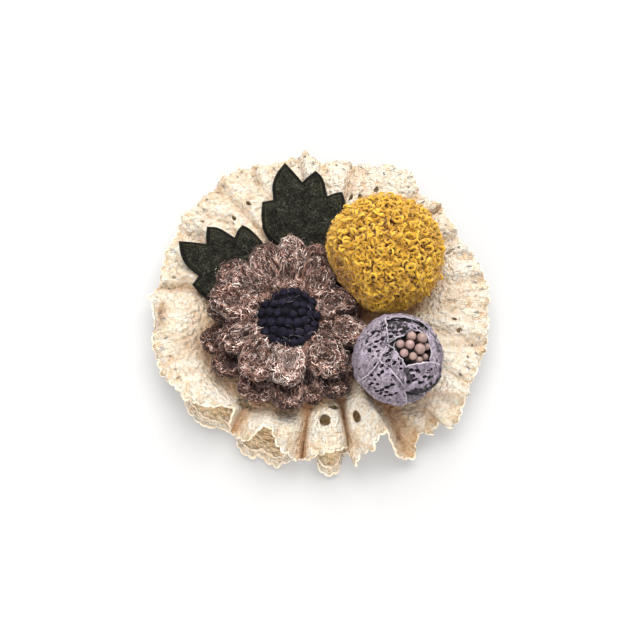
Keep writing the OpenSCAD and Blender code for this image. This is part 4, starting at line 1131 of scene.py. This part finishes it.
def pressed(p, room):
    """Eased flat where the ball leans on the flower, and flat where it stands on the lace."""
    to_flower = unit(np.array([FLOWER[0] - POMPOM[0], FLOWER[1] - POMPOM[1], 0.0]))
    over = np.maximum(0, p @ to_flower - (POMPOM_PRESS - 1.6))
    p = p - over[..., None] * to_flower * 0.42
    under = np.maximum(0, -p[..., 2] - (POMPOM_RISE - room))
    p[..., 2] += under * 0.92
    return p


def pompom():
    """A core with curls all round it, some standing and some lying, and loose hairs."""
    piece = Piece()
    core, faces = ball(40, 64)
    core = core * (CORE + 0.5 * noise(core * 15, 2.2, 3))[:, None]
    # the core's tone is painted shade, dark in the gaps between the curls
    piece.add(pressed(core, 1.6) + POMPOM, faces, MUSTARD, (0.26, 0.17, 0.08))
    count = 1750
    i = np.arange(count) + 0.5
    level = 1 - 2 * 0.87 * i / count
    out = extended(toward(i * GOLDEN, np.sqrt(1 - level ** 2)), level)
    out = unit(out + rng.normal(0, 0.04, (count, 3)))
    side = unit(np.cross(out, unit(rng.normal(size=(count, 3)))))
    third = np.cross(out, side)
    # a curl leans over between standing up and lying along the ball
    lean = rng.uniform(0.1, 1.25, (count, 1))
    rise, lie = np.cos(lean), np.sin(lean)
    points = 10
    turns = 1.0 + rng.uniform(0.15, 0.6, (count, 1))
    t = np.linspace(-0.35, turns, points, axis=-1).reshape(count, points) * np.pi
    wide = rng.uniform(0.6, 1.15, (count, 1))
    high = rng.uniform(0.8, 1.5, (count, 1))
    lift, across = high * np.sin(t), wide * np.cos(t)
    base = CURLS + rng.normal(0, 0.45, (count, 1))
    path = out[:, None] * (base + lift * rise + 0.25 * lie)[..., None]
    path += side[:, None] * across[..., None]
    path += third[:, None] * (lift * lie + 0.3 * np.cos(2 * t) * rng.normal(0, 0.8, (count, 1)))[..., None]
    path += 0.14 * wobble(path, 0.9)
    path = pressed(path, 0.5) + POMPOM
    radius = rng.uniform(0.31, 0.48, (count, 1)) * (1 + 0.3 * noise(path, 0.7, 5))
    radius[:, [0, -1]] *= 0.5
    # painted light and shade: the curls darker and browner towards the core, lighter and yellower further out
    up = (np.linalg.norm(path - POMPOM, axis=2) - 15.2) / 1.7
    light = np.interp(up, [-0.3, 0.25, 0.9], [0.28, 0.72, 1.15])
    lit_and_shaded_tints = (([0.3, 1.1], [1.06, 0.94]), ([0.3, 0.7, 1.1], [0.76, 0.98, 1.07]), ([0.3, 1], [0.5, 1.0]))
    tone = light[..., None] * np.stack([np.interp(light, *tint) for tint in lit_and_shaded_tints], -1)
    tone = tone * rng.uniform(0.82, 1.14, (count, 1, 1))
    keep = path[:, 4, 2] > POMPOM[2] - POMPOM_RISE + 0.6
    piece.lay(tubes(path[keep], radius[keep], 4, False, tone[keep]), MUSTARD)
    hairs = 4400
    start = unit(rng.normal(size=(hairs, 3)))
    start[:, 2] = np.abs(start[:, 2]) * 1.3 - 0.5
    start = unit(start)
    s = np.linspace(-0.5, 0.5, 6)
    way = unit(np.cross(start, rng.normal(size=(hairs, 3))))
    other = np.cross(start, way)
    bow = np.cos(s * np.pi)
    hair = start[:, None] * (LOOSE + rng.uniform(-0.3, 1.2, (hairs, 1, 1)) * bow[:, None])
    hair = hair + way[:, None] * (s[:, None] * rng.uniform(0.8, 2.6, (hairs, 1, 1)))
    hair = hair + other[:, None] * (bow[:, None] * rng.normal(0, 0.5, (hairs, 1, 1)))
    shade = rng.uniform(0.8, 1.25, (hairs, 1)) * np.ones(3)
    piece.lay(fibres(pressed(hair, 0.4) + POMPOM, 0.08, shade, start[:, None]), MUSTARD)
    piece.make("loop_pompom", "pompom_yarn", "pompom")


pompom()


# ---------------- bud

# Points across and along a strip, its wall, its cords' height over it and the strip without a second cord
ROWS, COLS = 58, 62
STRIP_WALL, CORD_UP, TOP_STRIP = 0.42, 0.12, 7
# The net's holes stand this far apart, across and along
NET_ACROSS, NET_ALONG = 2.15, 1.75


def on_bud(local):
    return turned(local, BUD_HEADING, BUD_LEAN) + BUD


def foot(a):
    """How far down the bud its strips reach in direction a, in radians from its top."""
    along, across = math.cos(math.radians(BUD_LEAN)), -math.sin(math.radians(BUD_LEAN)) * np.cos(a)
    reach = np.minimum(1, (BUD_RISE - GAP) / BUD_RADIUS / np.hypot(along, across))
    return np.arctan2(across, along) + np.arccos(-reach)


def mapped(polar, azimuth):
    """A place on the bud's flat map: millimetres from its top, measured over its surface."""
    a = np.radians(azimuth)
    return toward(a) * (BUD_RADIUS * np.radians(polar))[..., None]


def wrapped(flat, out):
    """The map laid round the bud, out millimetres above its strips' own radius."""
    a = np.arctan2(flat[..., 1], flat[..., 0])
    polar = np.minimum(np.hypot(flat[..., 0], flat[..., 1]) / BUD_RADIUS, foot(a))
    r = BUD_RADIUS - 0.75 + out
    return extended(toward(a, r * np.sin(polar)), r * np.cos(polar))


def edge_line(points, count):
    """An edge given by a few places, at count even steps of the map."""
    places = [(p if p < LOW_EDGE else math.degrees(foot(math.radians(a))), a) for p, a in points]
    flat = mapped(*np.array(places).T)
    far = np.concatenate([[0], np.cumsum(np.linalg.norm(np.diff(flat, axis=0), axis=1))])
    at = np.linspace(0, far[-1], count)
    line = np.stack([np.interp(at, far, flat[:, c]) for c in (0, 1)], -1)
    for _ in range(3):
        line[1:-1] = (line[:-2] + 2 * line[1:-1] + line[2:]) / 4
    return line


def gap_shade(flat):
    """How dark the painted shade of the torn gaps between the strips makes the bud there, 0 to 1."""
    shade = np.zeros(flat.shape[:-1])
    for points, reach, dark in GAPS:
        line = edge_line(points, 30)
        far = np.min(np.linalg.norm(flat[..., None, :] - line, axis=-1), axis=-1)
        torn = np.clip(1.0 + 0.9 * noise(extended(flat), 1.2, 41), 0, 1.3)
        shade = np.maximum(shade, dark * ease((torn * np.exp(-(far / reach) ** 2) - 0.3) / 0.3))
    return shade


def net_holes():
    """The holes of all strips on the map: place, turn and half sizes, first the nets' and then loose ones."""
    holes = []
    for polar, azimuth, turn, across, along, half_a, half_b in NETS:
        middle, a = mapped(np.array(polar), np.array(azimuth)), math.radians(turn)
        for i in range(across):
            for j in range(along):
                if rng.uniform() < 0.14:
                    continue
                q = np.array([(i - (across - 1) / 2 + (j % 2) / 2) * NET_ACROSS,
                              (j - (along - 1) / 2) * NET_ALONG])
                q += rng.normal(0, 0.1, 2)
                at = middle + q @ np.array([[math.cos(a), math.sin(a)], [-math.sin(a), math.cos(a)]])
                grow = rng.uniform(1.4, 2.0)
                holes.append((*at, a + rng.normal(0, 0.2), half_a * grow, half_b * grow))
    for _ in range(110):
        a, d = rng.uniform(-np.pi, np.pi), rng.uniform(6.5, 23)
        size = rng.uniform(0.38, 0.82)
        holes.append((d * math.cos(a), d * math.sin(a), rng.uniform(0, np.pi), size, size * 0.7))
    return holes


def strip_map(number, first, second):
    """A strip's grid on the map between its two edges, a little frayed."""
    one, two = edge_line(first, ROWS), edge_line(second, ROWS)
    u = np.linspace(0, 1, COLS)
    v = np.linspace(0, 1, ROWS)
    ends = []
    for line, edge in ((one, first), (two, second)):
        rough = np.interp(v, np.linspace(0, 1, len(edge)), np.array(edge, float)[:, 1])
        a = np.degrees(np.arctan2(line[:, 1], line[:, 0]))
        ends.append((np.hypot(line[:, 0], line[:, 1]), a + 360 * np.round((rough - a) / 360)))
    r, a = (one[:, None] * (1 - u) + two[:, None] * u for one, two in zip(*ends))
    a = np.radians(a)
    flat = toward(a, r)
    down = np.broadcast_to(v[:, None] * 24, r.shape)
    fray = 0.16 * noise(np.stack([down, 0 * r, 0 * r + number * 3], -1), 1.1, 2)
    return flat + unit(two - one)[:, None] * (fray * (1 - 2 * u))[..., None]


def pierced(flat, holes):
    """The grid drawn onto the holes' edges, the cells that stay, and how much lighter a band round each hole
    is.
    """
    middle = (flat[:-1, :-1] + flat[1:, 1:] + flat[1:, :-1] + flat[:-1, 1:]) / 4
    keep = np.ones((ROWS - 1, COLS - 1), bool)
    hole_rims = np.zeros((ROWS, COLS))
    for x, y, turn, half_a, half_b in holes:
        c, t = math.cos(turn), math.sin(turn)

        def from_hole(points):
            d = points - (x, y)
            return (np.abs((d[..., 0] * c + d[..., 1] * t) / half_a) ** 1.4
                    + np.abs((d[..., 1] * c - d[..., 0] * t) / half_b) ** 1.4) ** (1 / 1.4)

        keep &= from_hole(middle) > 1
        q = from_hole(flat)
        hole_rims = np.maximum(hole_rims, np.exp(-((q - 1.15) / 0.3) ** 2))
        flat = flat + (flat - (x, y)) * pulled(q, 0.2, 0.25)[..., None]
    return flat, keep, hole_rims


def bud_strip(piece, number, holes):
    """Adds one strip and gives the lines of the cords on its edges."""
    _, first, second, (at_first, at_second, at_start, at_end) = STRIPS[number]
    flat, keep, hole_rims = pierced(strip_map(number, first, second), holes)
    u, v = np.linspace(0, 1, COLS), np.linspace(0, 1, ROWS)[:, None]
    sides = [(at_first, np.exp(-u / 0.13)), (at_second, np.exp(-(1 - u) / 0.16)),
             (at_start, np.exp(-v / 0.09)), (at_end, np.exp(-(1 - v) / 0.09))]
    out = sum(h * w for h, w in sides) / (sum(w for _, w in sides) + 0.25)
    three = extended(flat, number * 9.0)
    out = out + (0.26 * noise(three, 3.4, 5) + 0.22 * noise(three, 1.3, 6) + 0.07 * noise(three, 0.7, 8))
    tone = 1.0 + 0.3 * noise(three, 2.2, 7) + 0.45 * noise(three, 0.9, 9) + 0.33 * hole_rims
    # painted highlight: lighter along a first edge that stands out
    tone += 0.22 * np.exp(-u / 0.03) * (at_first > 0.3)
    # painted shade: darker along edges that tuck under
    tone *= 1 - 0.8 * sides[0][1] * (at_first < -0.3) - 0.6 * sides[1][1] * (at_second < -0.3)
    # painted shade in the gaps between the strips
    tone = np.maximum(tone * (1 - gap_shade(flat)), 0.1)[..., None] * np.ones(3)
    solid_sheet(piece, on_bud(wrapped(flat, out)), STRIP_WALL, keep, False, WRAP, flat, tone, 0.0)
    ends = [(0, at_first > -0.6), (-1, at_second > 0.4 and number != TOP_STRIP)]
    return [on_bud(wrapped(flat[:, end], out[:, end] + CORD_UP)) for end, corded in ends if corded]


def bud_threads(cords):
    """The cords along the strips' edges, and loose threads lying on the strips."""
    sewn = Piece()
    t = np.linspace(0, 1, ROWS)
    beads = (0.13 + 0.07 * np.abs(np.sin(t * 60))) * (1 + 0.7 * noise(cords, 1.6, 3))
    sewn.lay(tubes(cords + 0.16 * wobble(cords, 1.1, 4), beads, 6), WRAP_EDGE)
    threads = 260
    a, d = rng.uniform(-np.pi, np.pi, (threads, 1)), rng.uniform(6.2, 25, (threads, 1))
    head = rng.choice([0.2, 1.0, 1.77, 2.6], (threads, 1)) + rng.normal(0, 0.25, (threads, 1))
    s = np.linspace(-0.5, 0.5, 5) * rng.uniform(1.0, 3.6, (threads, 1))
    bend = rng.normal(0, 0.12, (threads, 1)) * s * s
    flat = np.stack([d * np.cos(a) + s * np.cos(head) - bend * np.sin(head),
                     d * np.sin(a) + s * np.sin(head) + bend * np.cos(head)], -1)
    high = wrapped(flat, 0.36 + 0.2 * np.cos(s))
    clear = np.min(np.hypot(flat[..., 0], flat[..., 1]), axis=1) > 6.0
    shade = rng.choice([0.4, 0.75, 1.05], (threads, 1), p=[0.3, 0.35, 0.35]) * np.ones(3)
    facing = turned(unit(high), BUD_HEADING, BUD_LEAN)
    sewn.lay(fibres(on_bud(high)[clear], 0.13, shade[clear], facing[clear]), WRAP_EDGE)
    sewn.make("bud_cords", "bud_lace")


def bud_core():
    """The filling, with a hollow at its top for the stamens and cut off above the lace."""
    core, faces = ball(44, 56)
    shape = core * (11.35 * (1 + 0.012 * noise(core * 11, 2.5, 3)))[:, None]
    polar = np.degrees(np.arccos(np.clip(core[:, 2], -1, 1)))
    inside = polar < 27
    hollow = np.minimum(shape[:, 2], 6.9 + 3.2 * ease((polar - 20) / 7))
    shape[:, 2] = np.where(inside, hollow, shape[:, 2])
    world = on_bud(shape)
    world[:, 2] = np.maximum(world[:, 2], BUD[2] - BUD_RISE + 0.1)
    piece = Piece()
    # painted shade: the filling is toned dark, for the shade that shows through the holes and round the
    # stamens
    piece.add(world, faces, FILLING, np.where(inside[:, None], 0.3, 0.25) * np.ones(3))
    piece.make("bud_core_filling", "bud_filling", "bud_core")


def stamens():
    """Bead heads, hardly two of the same tone, each on its stalk."""
    head, faces = ball(20, 28)
    for k, (across, up, size, height) in enumerate(STAMENS):
        base = BUD_RADIUS - OPENING_DEPTH + GAP
        top = base + OPENING_DEPTH * height
        shape = head * (1.5 * size) * np.array([1, 1, 1.04])
        shape = shape * (1 + 0.02 * noise(head * 2 + k * 4, 0.8, 2))[:, None]
        shade = rng.uniform(0.92, 1.1)
        tone = (shade, shade * rng.uniform(0.97, 1.02), shade * rng.uniform(0.96, 1.02))
        piece = Piece()
        piece.add(on_bud(shape + np.array([across * OPENING, up * OPENING, top])), faces, BEAD, tone)
        stalk = np.array([[across * OPENING, up * OPENING, z] for z in np.linspace(base, top, 4)])
        piece.lay(tubes(on_bud(stalk)[None], 0.4, 8), BEAD)
        piece.make(f"stamen_head_{k + 1}", "stamen_bead", f"stamen_{k + 1}")


def bud():
    """The strips with their cords and threads, the filling and the stamens."""
    holes = net_holes()
    strips = {}
    cords = []
    for number, strip in enumerate(STRIPS):
        cords += bud_strip(strips.setdefault(strip[0], Piece()), number, holes)
    for k, piece in strips.items():
        made = piece.make(f"bud_strip_{k + 1}", "bud_lace", f"bud_wrap_{k + 1}")
    bud_threads(np.array(cords))
    bud_core()
    stamens()


bud()


# ---------------- floor and light

def floor():
    made = Finish("floor_white")
    base = made.mixed(made.cloud(6.0, 1.0), (0.345, 0.343, 0.343, 1), (0.355, 0.353, 0.353, 1))
    white = made.done(base, Roughness=0.8, Specular_IOR_Level=0.1, Emission_Color=(1, 1, 1, 1),
                      Emission_Strength=0.285)
    mesh = bpy.data.meshes.new("floor")
    mesh.from_pydata([(-3, -3, 0), (3, -3, 0), (3, 3, 0), (-3, 3, 0)], [], [(0, 1, 2, 3)])
    mesh.materials.append(white)
    plane = placed("floor", mesh)


def lamp(name, place, target, size, watts, colour):
    data = bpy.data.lights.new(name, "AREA")
    data.shape = "DISK"
    data.size = size
    data.energy = watts
    data.color = colour
    made = placed(name, data)
    made.location = place
    made.rotation_euler = (Vector(target) - Vector(place)).to_track_quat("-Z", "Y").to_euler()


floor()
lamp("key", (0.08, 0.40, 0.74), (0, 0, 0), 1.0, 13.0, (1.0, 0.985, 0.96))
lamp("fill", (-0.25, -0.62, 0.30), (0, 0, 0), 0.5, 2.6, (1.0, 0.98, 0.95))
world = bpy.data.worlds.new("studio")
bpy.context.scene.world = world
world.use_nodes = True
world.node_tree.nodes["Background"].inputs["Color"].default_value = (1.0, 0.99, 0.98, 1)
world.node_tree.nodes["Background"].inputs["Strength"].default_value = 0.9
bpy.context.scene.view_settings.view_transform = "Standard"
bpy.context.scene.view_settings.look = "None"
